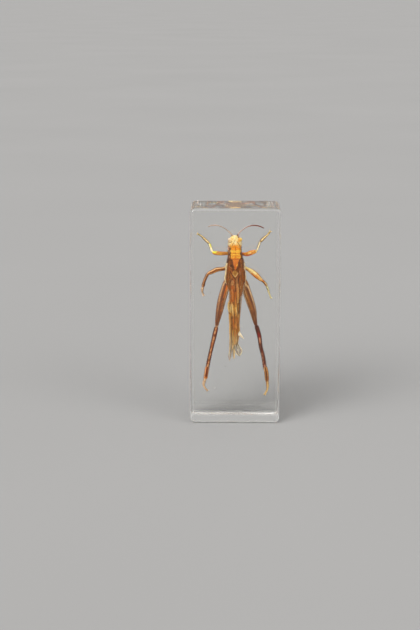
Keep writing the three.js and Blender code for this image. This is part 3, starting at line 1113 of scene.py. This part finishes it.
def hind_wings(skin):
    """Hind wings folded like fans under the fore wings: across the fan by t, from the midline to
    the outer edge, the sheet zigzags from fold to fold. The outer edge is a thicker pale rim, warm in
    its middle stretch, and the end of the left fan is worn pale."""
    s = np.linspace(0, 1, 220)[:, None]
    t = np.linspace(0, 1, 109)[None, :]
    for side, tip in ((LEFT, 31.4), (RIGHT, 37.5)):
        ragged = 1.4 * np.abs(np.sin(9 * t)) + 0.5 * np.sin(43 * t)
        z = 74.0 - (74.0 - tip - ragged) * s
        edge = through(MEMBRANE_EDGE[side], z)
        folded = np.clip(s * 3, 0, 1) * np.clip((0.97 - t) * 8, 0, 1)
        zigzag = 0.14 * np.arcsin(np.sin(TURN * FOLDS * t)) * folded
        x = side * (0.15 + (edge - 0.15) * t**0.8 + zigzag * 0.4) + 0.1
        y = through([(31, -1.2), (45, -1.9), (60, -2.3), (74, -2.9)], z) + 1.3 * t + zigzag
        rim = np.clip((t - 0.955) / 0.02, 0, 1) + 0 * s
        worn = np.clip((38.0 - z) / 2, 0, 1) * (side == LEFT) * (t < 0.75)
        fan = Piece()
        marks = (worn, 0.0, rim * (z < 66) * (z > 46) * 0.9)
        fan.grid(np.stack([x, y, z], -1), tint=np.maximum(rim * 0.9, worn), marks=marks)
        wall(fan.make(f"hind_wing_{SIDE_NAMES[side]}", skin), 0.08)


def torn_flap(skin):
    """Loose clear flap of the right hind wing: a crumpled sheet between two edges that run from the
    tear to a common corner, with rolled rims and a crease down its middle. The rims are painted pale,
    partly as painted highlight along the crumpled edges."""
    s = np.linspace(0, 1, 60)
    inner = route([(0.9, -1.3, 40.2), (0.0, -1.1, 37.6), (-0.1, -0.9, 35.8), (0.9, -0.6, 34.0),
                   (2.35, -0.3, 32.7)], s)
    outer = route([(1.3, -1.3, 40.0), (2.3, -1.1, 38.0), (3.6, -0.8, 35.8), (3.1, -0.5, 34.0),
                   (2.45, -0.3, 32.7)], s)
    t = np.linspace(0, 1, 40)[None, :, None]
    lobe = s[:, None, None]
    crumple = 0.18 * np.sin(14 * t + 5 * lobe) + 0.12 * np.sin(23 * t - 9 * lobe)
    crumple = crumple + 0.45 * np.sin(math.pi * t)
    flap = Piece()
    flap.grid(inner[:, None] * (1 - t) + outer[:, None] * t + np.array([0.1, -1.0, 0.1]) * crumple)
    rim = [(0, 0.12), (0.5, 0.2), (1, 0.16)]
    fold = route([(1.2, -1.7, 39.4), (1.4, -1.6, 37.4), (1.6, -1.3, 35.6), (2.3, -0.7, 33.4)],
                 np.linspace(0, 1, 12))
    # the rims take the thick pale finish, partly painted highlight along the crumpled edges; the crease
    # takes it too
    for edge, girth in ((inner[::6], rim), (outer[::6], rim), (fold, [(0, 0.1), (1, 0.08)])):
        flap.carry(edge, girth, girth, rows=50, sides=8, tint=1.0)
    wall(flap.make("hind_wing_right_torn_flap", skin), 0.06)


# ---------------------------------------------------------------- legs

LEGS = {  # points along the middle of each joint
    ("fore", LEFT): {
        "coxa": [(-2.4, 4.2, 85.4), (-3.1, 4.1, 85.2), (-3.6, 3.6, 85.3)],
        "femur": [(-3.2, 3.6, 85.5), (-7.4, 1.7, 85.7), (-11.5, 0.4, 86.2)],
        "tibia": [(-11.5, 0.5, 86.5), (-12.3, 2.2, 88.5), (-13.1, 4.4, 90.3)],
        "tarsus": [(-13.1, 4.4, 90.4), (-15.4, 4.9, 92.6), (-17.3, 5.1, 94.3), (-18.7, 5.3, 95.1)]},
    ("fore", RIGHT): {
        "coxa": [(2.2, 4.2, 85.0), (2.9, 4.1, 84.8), (3.4, 3.6, 84.8)],
        "femur": [(3.2, 3.6, 85.4), (5.6, 2.4, 85.2), (8.2, 1.4, 86.2), (10.8, 0.4, 87.1)],
        "tibia": [(10.9, 0.4, 87.3), (11.6, 2.2, 89.2), (12.4, 4.4, 91.2)],
        "tarsus": [(12.4, 4.4, 91.3), (14.1, 4.9, 92.9), (16.4, 5.1, 95.1), (17.4, 5.3, 96.3)]},
    ("mid", LEFT): {
        "coxa": [(-3.4, 4.2, 78.3), (-4.4, 3.8, 78.1), (-5.6, 2.9, 78.0)],
        "femur": [(-4.6, 3.2, 77.9), (-6.6, 2.2, 77.7), (-9.2, 1.5, 77.4), (-12.0, 0.7, 76.2),
                  (-14.1, 0.2, 75.3)],
        "tibia": [(-13.9, 0.2, 75.4), (-15.1, 1.8, 72.6), (-15.9, 2.8, 70.2), (-16.3, 3.6, 68.3)],
        "tarsus": [(-16.3, 3.6, 68.4), (-16.7, 4.0, 66.6), (-16.6, 4.3, 65.2), (-16.1, 4.4, 64.1)]},
    ("mid", RIGHT): {
        "coxa": [(3.4, 4.2, 78.6), (4.2, 3.8, 78.4), (5.0, 3.2, 78.2)],
        "femur": [(4.4, 3.4, 78.4), (7.0, 2.0, 77.3), (10.0, 0.8, 75.2), (12.2, 0.2, 73.2),
                  (13.6, 0.0, 71.9)],
        "tibia": [(13.3, 0.0, 72.3), (14.6, 1.8, 71.0), (15.9, 4.0, 69.0)],
        "tarsus": [(15.8, 4.0, 69.2), (16.8, 4.4, 66.4), (17.5, 4.7, 64.2), (18.1, 4.8, 62.7)]},
    ("hind", LEFT): {
        "coxa": [(-2.6, 4.2, 74.6), (-3.2, 4.0, 74.2), (-3.6, 3.2, 73.6)],
        "femur": [(-3.5, 3.0, 73.4), (-5.1, 1.5, 67.6), (-6.6, 0.7, 62.4), (-7.9, 0.0, 56.4),
                  (-8.9, -0.6, 51.2), (-9.4, -1.0, 48.0)],
        "tibia": [(-9.4, -0.9, 48.4), (-10.5, -0.6, 43.3), (-12.0, 0.1, 36.6), (-13.5, 0.9, 29.4),
                  (-14.0, 1.1, 26.6)],
        "tarsus": [(-14.2, 1.1, 27.2), (-14.6, 1.4, 23.7), (-15.0, 1.6, 21.2), (-15.7, 1.8, 18.8),
                   (-16.0, 1.9, 17.4), (-15.4, 2.0, 15.8), (-14.3, 2.2, 14.4)]},
    ("hind", RIGHT): {
        "coxa": [(2.9, 4.2, 74.6), (3.5, 4.0, 74.2), (3.9, 3.2, 73.6)],
        "femur": [(3.9, 3.0, 73.4), (5.6, 1.5, 67.2), (7.5, 0.7, 61.5), (9.1, 0.0, 56.4),
                  (10.0, -0.6, 51.7), (10.7, -1.0, 48.8)],
        "tibia": [(10.7, -0.9, 49.2), (12.3, -0.6, 43.6), (13.2, 0.0, 37.4), (14.4, 0.6, 32.6),
                  (15.3, 1.1, 26.6)],
        "tarsus": [(15.5, 1.1, 27.2), (16.2, 1.4, 23.6), (16.4, 1.6, 20.6), (16.8, 1.8, 17.2),
                   (16.7, 2.0, 15.0), (15.6, 2.2, 12.5)]},
}


def coxa(way, side, skin, name):
    """Hip joint: a short egg between the breast and the thigh."""
    joint = Piece()
    thick = [(0, 1.1), (0.6, 1.05), (1, 0.7)]
    joint.carry(way, thick, thick, side=side, rows=24, sides=24, pale=[(0.2, 0.8, 0.2, 0.9, 0.85)])
    joint.make(name, skin)


def spines(shin, way, side, count, length, away, first=0.35, last=0.95, thick=0.15):
    """Two rows of slim cones along the shin, leaning towards the foot and dark at their tips."""
    places = np.linspace(first, last, count)
    roots = route(way, places)
    along = unit(route(way, places + 0.01) - route(way, places - 0.01))
    away = unit(np.array(away) - along * (along @ np.array(away))[:, None])
    beside = np.cross(away, along)
    girth = [(0, thick), (0.6, thick * 0.65), (1, 0.025)]
    for root, forward, out, aside in zip(roots, along, away, beside):
        for lean in (-1, 1):
            start = root + 0.4 * (out * 0.3 + aside * lean)
            tip = start + length * unit(out * 0.2 + aside * lean * 0.9 + forward * 0.6)
            shin.carry([start, (start + tip) / 2, tip], girth, girth, forward + out, side, 7, 6,
                       tint=lambda f: np.clip(0.3 + 1.1 * f, 0, 1))


# Half widths along a foot, as shares of its girth
SLIM_FOOT = [(0, 0.85), (0.1, 0.95), (0.28, 1.1), (0.36, 0.92), (0.5, 1.0), (0.6, 0.75), (0.8, 0.66),
             (1, 0.75)]
STOUT_FOOT = [(0, 0.8), (0.08, 1.0), (0.3, 1.1), (0.45, 1.05), (0.55, 0.72), (0.68, 0.7), (0.8, 0.5),
              (1, 0.42)]


def foot(way, side, girth, waist, skin, name, claws, pale=(), dark=(), warm=()):
    """Tarsus: three joints, each narrow at its start and padded at its end, then two curved claws
    and the round sole between them. claws is how pale the sole and the claws are."""
    made = Piece()
    wide = [(place, size * girth) for place, size in waist]
    joints = [(0.0, ALL_ROUND, 0.36, 0.37, 0.5), (0.0, ALL_ROUND, 0.6, 0.61, 0.4)]
    made.carry(way, wide, wide, side=side, rows=80, sides=24, pale=pale, dark=[*dark, *joints], warm=warm)
    places = route(way, np.array([0.2, 0.46, 0.94, 1.0]))
    tip = places[-1]
    along = unit(places[-1] - places[-2])
    beside = unit(np.cross(along, OUT_OF_BACK))
    for place in places[:2]:
        made.grid(dome(place + (0, girth * 0.7, 0), (girth * 0.7, girth * 0.55, girth * 0.8), 10, 14),
                  wrap=True)
    pad = dome(tip + along * 0.2 + (0, 0.15, 0), (0.45, 0.34, 0.45), 12, 16)
    made.grid(pad, wrap=True, marks=(claws, 0, 0.5 - 0.5 * claws))
    hook = [(0, 0.2), (0.6, 0.14), (1, 0.03)]
    for lean in (-1, 1):
        points = [tip, tip + along * 0.55 + beside * lean * 0.5,
                  tip + along * 0.85 + beside * lean * 0.75 + (0, 0.45, 0)]
        made.carry(points, hook, hook, side=side, rows=12, sides=10,
                   pale=[(0.0, ALL_ROUND, 0.0, 1.0, claws)],
                   tint=lambda f: np.clip(1.6 * f - 0.6 - 0.5 * claws, 0, 1))
    made.make(name, skin)


def slim_leg(place, side, skins, styles):
    """Walking leg: a thigh that swells past its middle, a slim shin with a row of fine spines on each
    side, and a jointed foot."""
    leg = LEGS[place, side]
    name = f"{place}_{{}}_{SIDE_NAMES[side]}"
    slim, sole = SHIN_AND_FOOT[place, side]
    coxa(leg["coxa"], side, skins["coxa"], name.format("coxa"))
    thigh = Piece()
    wide = WALKING_THIGHS[place, side]
    deep = [(f, size * 0.88) for f, size in wide]
    thigh.carry(leg["femur"], wide, deep, side=side, rows=64, sides=36, power=2.3, **styles["femur"])
    thigh.make(name.format("femur"), skins["femur"])
    shin = Piece()
    girth = [(0, 1.1 * slim), (0.12, slim), (0.5, 0.92 * slim), (0.9, 1.05 * slim), (1, 1.1 * slim)]
    shin.carry(leg["tibia"], girth, girth, side=side, rows=56, sides=28, **styles["tibia"])
    spines(shin, leg["tibia"], side, 6, 0.5, (0.0, 1.0, 0.0))
    shin.make(name.format("tibia"), skins["tibia"])
    claws = 0.7 if place == "fore" else 0.9
    foot(leg["tarsus"], side, sole, SLIM_FOOT, skins["tarsus"], name.format("tarsus"), claws,
         **styles["tarsus"])


def fishbone(f, a):
    """Slanting ribs on the outer face of the jumping thigh, between two raised lines, and a keel
    along its back and its lower edge."""
    off = np.abs(a - math.pi / 2)
    field = np.clip(1 - (off / 0.75) ** 4, 0, 1) * hump(f, 0.45, 0.38)
    ribs = 0.07 * np.sin(TURN * (30 * f + off / TURN * 14)) * field
    lines_up = 0.14 * hump(off, 0.8, 0.09)
    keels = 0.16 * (hump(a, 0, 0.12) + hump(a, TURN, 0.12)) + 0.14 * hump(a, math.pi, 0.14)
    return ribs + (lines_up + keels) * hump(f, 0.5, 0.42)


def jumping_leg(place, side, skins, styles):
    """Hind leg: a spindle-shaped thigh with fishbone ribs, a knee, a long shin with two rows of stout
    spines and four spurs, and a long foot."""
    leg = LEGS[place, side]
    name = f"{place}_{{}}_{SIDE_NAMES[side]}"
    coxa(leg["coxa"], side, skins["coxa"], name.format("coxa"))
    thigh = Piece()
    wide = [(0, 0.8), (0.06, 1.4), (0.18, 1.95), (0.36, 2.0), (0.5, 1.95), (0.65, 1.75), (0.8, 1.4),
            (0.9, 1.05), (0.96, 0.85), (1, 0.8)]
    deep = [(0, 0.7), (0.08, 1.0), (0.3, 1.3), (0.6, 1.1), (0.8, 0.85), (0.92, 0.75), (1, 0.7)]
    lean = (side * 0.25, -0.97, 0.0)
    thigh.carry(leg["femur"], wide, deep, lean, side, 200, 80, 2.0, fishbone, **styles["femur"])
    thigh.make(name.format("femur"), skins["femur"])
    shin = Piece()
    wide = [(0, 0.95), (0.06, 1.1), (0.22, 1.12), (0.4, 0.98), (0.6, 0.9), (0.9, 0.92), (1, 0.95)]
    deep = [(f, size * 0.85) for f, size in wide]
    shin.carry(leg["tibia"], wide, deep, side=side, rows=120, sides=32, **styles["tibia"])
    spines(shin, leg["tibia"], side, 14, 1.0, (side * 0.1, -1.0, 0.0), 0.2, 0.96, 0.24)
    end = np.array(leg["tibia"][-1])
    spur = [(0, 0.22), (1, 0.03)]
    for lean in (-1, 1):
        for length in (1.3, 0.9):
            tip = end + (lean * 0.75 * length, 0.35, -1.1 * length)
            root = end + (lean * 0.4, 0.2, 0.2)
            shin.carry([root, (root + tip) / 2 + (lean * 0.15, 0, 0), tip], spur, spur, side=side, rows=10,
                       sides=8, tint=lambda f: np.clip(1.6 * f - 0.6, 0, 1))
    shin.make(name.format("tibia"), skins["tibia"])
    foot(leg["tarsus"], side, 1.0, STOUT_FOOT, skins["tarsus"], name.format("tarsus"), 0.9,
         **styles["tarsus"])


def knee_shade(end):
    """Bands all round a thigh that deepen in four steps towards the knee."""
    return [(0.0, ALL_ROUND, 0.16 * step + 0.2, end, 0.14 * step + 0.26) for step in range(4)]


def beads(count, place, drift, half, first, apart, strength):
    """A row of short spots along a limb, each further across than the one before it by the drift."""
    starts = [first + apart * bead for bead in range(count)]
    return [(place + drift * bead, half, start, start, strength) for bead, start in enumerate(starts)]


LEG_LINES = {  # the bands of each mark on each joint. Pale bands along upper edges and short pale spots are partly painted highlights, and dark bands along lower edges partly painted shade
    ("fore", LEFT): {
        "femur": {"pale": [(0.5, 0.5, 0.8, 1.0, 1.0), (-0.3, 0.25, 0.5, 0.7, 0.5)],
                  "dark": [(1.0, 0.16, 0.1, 0.7, 0.6), (-1.0, 0.14, 0.1, 1.0, 0.7),
                           (0.0, ALL_ROUND, 0.0, 0.1, 0.4)],
                  "warm": [(-0.6, 0.4, 0.2, 1.0, 0.9)]},
        "tibia": {"pale": [(0.0, 0.9, 0.0, 0.4, 0.9), (-0.4, 0.4, 0.5, 1.0, 0.9)],
                  "dark": [(-1.0, 0.2, 0.0, 1.0, 0.6)],
                  "warm": [(0.4, 0.6, 0.5, 0.9, 1.0)]},
        "tarsus": {"pale": [(0.1, 0.5, 0.0, 0.86, 1.0)],
                   # the dark band along the lower edge of the foot, the first here, is painted shade
                   "dark": [(-0.85, 0.35, 0.0, 0.9, 1.0), (0.95, 0.2, 0.0, 0.9, 0.6)],
                   "warm": [(0.0, ALL_ROUND, 0.9, 1.0, 0.9)]}},
    ("fore", RIGHT): {
        # the pale bands across the middle of the thigh are painted highlights; the pale band round the knee
        # is its own colour
        "femur": {"pale": [(0.0, ALL_ROUND, 0.96, 1.0, 1.0), (0.2, 0.4, 0.5, 0.66, 0.9),
                           (0.4, 0.4, 0.78, 0.86, 0.5)],
                  "dark": [(1.0, 0.1, 0.1, 0.9, 0.4), (-1.0, 0.1, 0.1, 0.9, 0.4)],
                  "warm": [(-0.6, 0.4, 0.15, 0.6, 0.9), (0.0, ALL_ROUND, 0.0, 0.12, 0.9)]},
        "tibia": {"pale": [(0.0, 0.6, 0.0, 1.0, 0.9)],
                  "dark": [(-0.9, 0.3, 0.1, 1.0, 0.8), (0.9, 0.3, 0.1, 1.0, 0.6)]},
        "tarsus": {"pale": [(0.1, 0.5, 0.14, 0.8, 1.0)],
                   "dark": [(-0.95, 0.25, 0.0, 0.9, 0.9), (0.95, 0.2, 0.0, 0.9, 0.8)],
                   "warm": [(0.0, ALL_ROUND, 0.9, 1.0, 0.9)]}},
    ("mid", LEFT): {
        # the first pale line, along the upper edge of the thigh, is partly a painted highlight
        "femur": {"pale": [(0.6, 0.22, 0.04, 1.0, 1.0), (-0.66, 0.14, 0.3, 1.0, 0.7)],
                  "dark": [(-0.05, 0.24, 0.12, 0.9, 0.65), (-1.0, 0.16, 0.1, 1.0, 0.9),
                           (1.0, 0.14, 0.1, 0.9, 0.8)],
                  "warm": [(-0.3, 0.2, 0.4, 1.0, 0.5)]},
        "tibia": {"pale": [(0.35, 0.3, 0.0, 1.0, 0.9)],
                  "dark": [(-0.8, 0.4, 0.0, 1.0, 0.9), (1.0, 0.2, 0.0, 1.0, 0.9)],
                  "warm": [(-0.2, 0.2, 0.0, 1.0, 0.7)]},
        "tarsus": {"pale": [(0.1, 0.6, 0.0, 1.0, 1.0)],
                   "dark": [(-0.9, 0.35, 0.0, 0.8, 0.9), (1.0, 0.2, 0.0, 0.6, 0.6)]}},
    ("mid", RIGHT): {
        # the first pale band, along the upper edge of the thigh, is a painted highlight
        "femur": {"pale": [((0.5, 0.35), 0.42, 0.04, 0.62, 1.0), ((0.3, 0.6), 0.2, 0.7, 1.0, 0.5)],
                  "dark": [(-1.0, 0.2, 0.1, 1.0, 0.9), (1.0, 0.14, 0.2, 1.0, 0.8)],
                  "warm": [(-0.4, 0.4, 0.5, 0.8, 1.0), (0.0, 0.3, 0.92, 1.0, 0.5)]},
        "tibia": {"dark": [(-0.8, 0.4, 0.0, 0.7, 0.95), (0.95, 0.2, 0.0, 1.0, 0.8)],
                  "pale": [(0.3, 0.5, 0.4, 1.0, 0.9)],
                  "warm": [(0.2, 0.3, 0.0, 0.4, 0.6)]},
        "tarsus": {"pale": [(0.1, 0.6, 0.0, 1.0, 1.0)],
                   "dark": [(-0.95, 0.25, 0.0, 1.0, 0.7), (0.95, 0.2, 0.0, 1.0, 0.6)]}},
    ("hind", LEFT): {
        "femur": {"pale": [((0.2, 0.85), 0.18, 0.06, 0.2, 1.0), ((0.78, 0.6), 0.17, 0.22, 0.5, 0.7),
                           ((0.55, 0.45), 0.17, 0.52, 0.84, 0.6), (-0.72, 0.2, 0.1, 0.9, 0.7),
                           (0.0, ALL_ROUND, 0.97, 1.0, 0.6)],
                  "dark": [*knee_shade(0.96), (1.0, 0.12, 0.05, 1.0, 0.8),
                           ((0.2, 0.0), 0.24, 0.14, 0.96, 1.0), (-0.98, 0.1, 0.0, 0.96, 0.8),
                           (-0.42, 0.1, 0.3, 0.8, 0.6), (0.0, 0.6, 0.88, 0.95, 0.8)],
                  "warm": [(-0.3, 0.34, 0.06, 0.24, 1.4), (-0.3, 0.2, 0.26, 0.4, 0.6)]},
        # the short pale spots down the shin are painted highlights
        "tibia": {"pale": [((0.2, 0.0), 0.18, 0.02, 0.5, 0.5), (0.0, 0.2, 0.5, 0.97, 0.6),
                           (0.1, 0.36, 0.05, 0.06, 0.8), (0.2, 0.36, 0.13, 0.15, 1.1),
                           (0.1, 0.4, 0.27, 0.29, 1.1), (0.1, 0.3, 0.36, 0.37, 0.7),
                           (0.3, 0.3, 0.57, 0.58, 1.0), (-0.2, 0.3, 0.66, 0.67, 1.0),
                           (0.3, 0.3, 0.75, 0.76, 1.0), (-0.2, 0.36, 0.86, 0.87, 1.0),
                           (0.0, 0.5, 0.94, 0.98, 1.0)],
                  "dark": [(0.85, 0.35, 0.0, 1.0, 1.0), (-0.85, 0.35, 0.0, 1.0, 1.0),
                           (0.0, 0.4, 0.2, 0.21, 0.7), (0.0, 0.4, 0.62, 0.63, 0.6),
                           (0.0, 0.4, 0.81, 0.82, 0.7)],
                  "warm": [(-0.6, 0.3, 0.06, 0.24, 1.2), (0.6, 0.25, 0.1, 0.2, 0.8),
                           (0.75, 0.25, 0.46, 0.58, 0.9)]},
        "tarsus": {"pale": [((0.8, 0.6), 0.2, 0.0, 0.4, 0.6), (0.0, 0.9, 0.5, 1.0, 1.0),
                            (-0.8, 0.14, 0.1, 0.4, 0.6)],
                   "dark": [(-0.15, 0.4, 0.03, 0.38, 1.0), (1.0, 0.16, 0.0, 0.6, 1.0),
                            (-1.0, 0.14, 0.0, 0.9, 0.8)]}},
    ("hind", RIGHT): {
        # the row of pale spots near the hip, across to the outer edge, is painted highlight
        "femur": {"pale": [(0.8, 0.18, 0.26, 0.84, 0.8), (-0.84, 0.14, 0.14, 0.9, 0.75),
                           (-0.35, 0.1, 0.12, 0.4, 0.5), *beads(5, -0.6, 0.4, 0.22, 0.04, 0.06, 1.3)],
                  "dark": [*knee_shade(1.0), ((0.3, 0.45), 0.24, 0.24, 1.0, 0.9), (1.0, 0.12, 0.2, 1.0, 0.9),
                           (-1.0, 0.1, 0.0, 1.0, 0.9), (-0.6, 0.08, 0.1, 0.8, 0.7),
                           (0.0, ALL_ROUND, 0.92, 1.0, 0.9), (0.0, 0.08, 0.1, 0.5, 0.6)],
                  "warm": [(-0.2, 0.3, 0.1, 0.7, 0.7)]},
        # the first pale band, a third of the way down the shin, is a painted highlight
        "tibia": {"pale": [(0.0, 0.34, 0.31, 0.38, 0.9), (-0.3, 0.26, 0.5, 0.51, 0.5),
                           (-0.5, 0.26, 0.66, 0.67, 0.9), (-0.4, 0.26, 0.76, 0.77, 0.9),
                           (-0.5, 0.26, 0.86, 0.87, 0.9), (0.2, 0.3, 0.95, 0.98, 1.0)],
                  "dark": [(0.85, 0.35, 0.0, 1.0, 0.95), (-0.85, 0.3, 0.0, 0.66, 0.95),
                           (0.0, ALL_ROUND, 0.0, 0.14, 0.7), (0.0, ALL_ROUND, 0.46, 0.56, 0.5),
                           (0.0, ALL_ROUND, 0.6, 0.9, 0.3)],
                  "warm": [(0.0, 0.6, 0.22, 0.27, 1.3), (-0.5, 0.3, 0.14, 0.4, 0.8)]},
        "tarsus": {"pale": [(-0.75, 0.2, 0.0, 0.14, 0.8), (-0.55, 0.2, 0.16, 0.5, 0.4),
                            (0.2, 0.7, 0.56, 0.9, 0.9), *beads(4, 0.6, 0.0, 0.16, 0.05, 0.09, 0.7),
                            (0.0, ALL_ROUND, 0.88, 1.0, 1.0)],
                   "dark": [(-0.1, 0.3, 0.05, 0.5, 1.0), (1.0, 0.16, 0.0, 0.9, 1.0),
                            (-1.0, 0.2, 0.2, 0.9, 1.0)]}},
}
LIMB_PAINTS = {  # the core, pale, dark and warm paint of each finish; the pale paint of several thighs and shins is also the colour of their painted highlights
    "hip": (AMBER, paint(206, 150, 120), UMBER, RUST),
    "cream hip": (IVORY, SHELL, RUST, STRAW),
    "left fore thigh": (paint(234, 160, 72), LIME, paint(120, 44, 0), paint(240, 150, 50)),
    "right fore thigh": (paint(246, 160, 36), paint(255, 212, 124), paint(150, 56, 0), paint(218, 100, 50)),
    "fore shin": (paint(216, 180, 110), SHELL, UMBER, LIME),
    "gold foot": (paint(206, 146, 80), paint(240, 214, 154), UMBER, paint(164, 150, 80)),
    "left mid thigh": (RUST, paint(236, 188, 134), UMBER, AMBER),
    "left mid shin": (RUST, paint(212, 154, 108), UMBER, AMBER),
    "pale foot": (paint(196, 134, 80), paint(244, 206, 164), UMBER, AMBER),
    "right mid thigh": (paint(226, 178, 96), paint(255, 234, 158), paint(130, 66, 0), paint(232, 138, 50)),
    "right mid shin": (AMBER, paint(234, 196, 136), UMBER, TANGERINE),
    "greenish foot": (paint(188, 166, 92), paint(232, 222, 164), paint(96, 58, 4), STRAW),
    "left jumping thigh": (paint(124, 68, 4), paint(240, 194, 140), paint(100, 46, 0), paint(248, 132, 10)),
    "left hind shin": (paint(160, 88, 20), paint(226, 162, 106), paint(80, 26, 0), paint(150, 44, 0)),
    "left hind foot": (AMBER, paint(232, 194, 150), paint(112, 36, 0), TANGERINE),
    "right jumping thigh": (paint(136, 80, 4), paint(242, 202, 142), paint(100, 46, 0),
                            paint(186, 116, 24)),
    "right hind shin": (paint(110, 54, 12), paint(216, 152, 112), paint(76, 26, 0), GARNET),
    "right hind foot": (paint(172, 102, 20), paint(230, 190, 116), paint(98, 42, 0), AMBER),
}
LEG_FINISHES = {  # the finish of each joint, from the hip to the foot
    ("fore", LEFT): ("hip", "left fore thigh", "fore shin", "gold foot"),
    ("fore", RIGHT): ("hip", "right fore thigh", "fore shin", "gold foot"),
    ("mid", LEFT): ("cream hip", "left mid thigh", "left mid shin", "pale foot"),
    ("mid", RIGHT): ("cream hip", "right mid thigh", "right mid shin", "greenish foot"),
    ("hind", LEFT): ("left jumping thigh", "left jumping thigh", "left hind shin", "left hind foot"),
    ("hind", RIGHT): ("right jumping thigh", "right jumping thigh", "right hind shin", "right hind foot"),
}
WALKING_THIGHS = {  # half widths along the thigh
    ("fore", LEFT): [(0, 0.82), (0.3, 0.92), (0.7, 1.0), (0.92, 0.85), (1, 0.6)],
    ("fore", RIGHT): [(0, 0.62), (0.25, 0.95), (0.6, 1.2), (0.85, 0.95), (1, 0.6)],
    ("mid", LEFT): [(0, 0.95), (0.25, 1.0), (0.5, 1.15), (0.75, 1.05), (1, 0.75)],
    ("mid", RIGHT): [(0, 0.75), (0.2, 0.9), (0.42, 1.3), (0.65, 1.4), (0.85, 1.05), (1, 0.75)],
}
# Half widths of a walking leg's shin and foot
SHIN_AND_FOOT = {("fore", LEFT): (0.56, 0.66), ("fore", RIGHT): (0.46, 0.7),
                 ("mid", LEFT): (0.8, 0.62), ("mid", RIGHT): (0.7, 0.52)}


def legs():
    """All six legs, each with its own widths, finishes and lines of light and shade."""
    finishes = {name: limb_skin(name, *paints) for name, paints in LIMB_PAINTS.items()}
    for place, side in LEGS:
        skins = dict(zip(LEGS[place, side], (finishes[name] for name in LEG_FINISHES[place, side])))
        leg = jumping_leg if place == "hind" else slim_leg
        leg(place, side, skins, LEG_LINES[place, side])


# ---------------------------------------------------------------- studio

FLOOR_GAP = 0.0003
FLOOR_HALF = 25.0


def floor():
    """A wide pale floor, faintly uneven in tone, a hair below the block so that air lies between."""
    look = Look("pale floor")
    spot = look.place()[0]
    tone = look.mix(look.noise(spot, 3.0, 2.0), (0.25, 0.25, 0.25, 1), (0.27, 0.27, 0.27, 1))
    skin = look.finish(Base_Color=tone, Roughness=0.9, Specular_IOR_Level=0.0)
    mesh = bpy.data.meshes.new("floor")
    ways = ((-1, -1), (1, -1), (1, 1), (-1, 1))
    corners = [(x * FLOOR_HALF, y * FLOOR_HALF, -FLOOR_GAP) for x, y in ways]
    mesh.from_pydata(corners, [], [(0, 1, 2, 3)])
    mesh.materials.append(skin)
    made = bpy.data.objects.new("floor", mesh)
    bpy.context.scene.collection.objects.link(made)


EVEN_LIGHT = 0.46
OVERHEAD_LIGHT = 0.4
LAMPS = [  # the way to a lamp, its power and how tight its glow is
    (unit(np.array([-0.7, -1.0, 0.95])).tolist(), 13.0, 16.0),
    (unit(np.array([1.0, -0.9, 0.6])).tolist(), 5.0, 14.0),
]


class Sky(Look):
    """The node tree of the studio's light."""

    def __init__(self, name):
        world = bpy.data.worlds.new(name)
        world.use_nodes = True
        bpy.context.scene.world = world
        self.tree = world.node_tree
        self.tree.nodes.clear()

    def glow(self, direction, aim, tightness):
        """A soft round lamp far away: the cosine of the angle to its aim, raised to its tightness."""
        sockets = {0: direction, 1: aim}
        aimed = self.node("ShaderNodeVectorMath", {"operation": "DOT_PRODUCT"}, sockets, "Value")
        return self.maths("POWER", self.maths("MAXIMUM", aimed, 0.0), tightness)


def studio():
    """Even light all round, brighter overhead, with a broad key lamp from the front left and a weaker
    one from the front right."""
    sky = Sky("studio")
    direction = sky.node("ShaderNodeTexCoord", {}, {}, "Generated")
    parts = sky.node("ShaderNodeSeparateXYZ", {}, {0: direction})
    height = parts.out("Z")
    light = EVEN_LIGHT + sky.step(height, 0.55, 1.0) * OVERHEAD_LIGHT
    for aim, power, tightness in LAMPS:
        light = light + sky.glow(direction, aim, tightness) * power
    back = sky.node("ShaderNodeBackground", {}, {"Color": (1.0, 0.985, 0.965, 1), "Strength": light})
    last = sky.tree.nodes.new("ShaderNodeOutputWorld")
    sky.tree.links.new(back.socket, last.inputs["Surface"])


EYE = (-0.0027, -0.7457, 0.2186)
EYE_DOWN = 0.21837
EYE_TURN = 0.0135
EYE_LENS = 85.53  # millimetres, on a sensor 36 mm wide


def camera():
    """The eye stands 0.22 m up and 0.73 m in front of the block, looking 12.5 degrees down."""
    lens = bpy.data.cameras.new("camera")
    lens.lens = EYE_LENS
    lens.sensor_width = 36.0
    lens.clip_start = 0.01
    lens.clip_end = 200.0
    made = bpy.data.objects.new("camera", lens)
    bpy.context.scene.collection.objects.link(made)
    made.location = EYE
    made.rotation_euler = (math.pi / 2 - EYE_DOWN, 0.0, EYE_TURN)
    bpy.context.scene.camera = made


def ray_limits():
    """Enough bounces for light to find its way through the block, and a clean picture."""
    cycles = bpy.context.scene.cycles
    cycles.max_bounces = 24
    cycles.transmission_bounces = 24
    cycles.glossy_bounces = 16
    cycles.transparent_max_bounces = 24
    cycles.sample_clamp_indirect = 6.0
    cycles.use_denoising = True
    bpy.context.scene.view_settings.view_transform = "Standard"


camera()
casting()
head()
eyes()
antennae()
mouthparts()
pronotum()
thorax()
scutellum()
abdomen()
fore_wing(LEFT, 0.16)
fore_wing(RIGHT, 0.0)
membrane = membrane_skin()
torn_strip(membrane)
hind_wings(membrane)
torn_flap(membrane)
legs()
floor()
studio()
ray_limits()
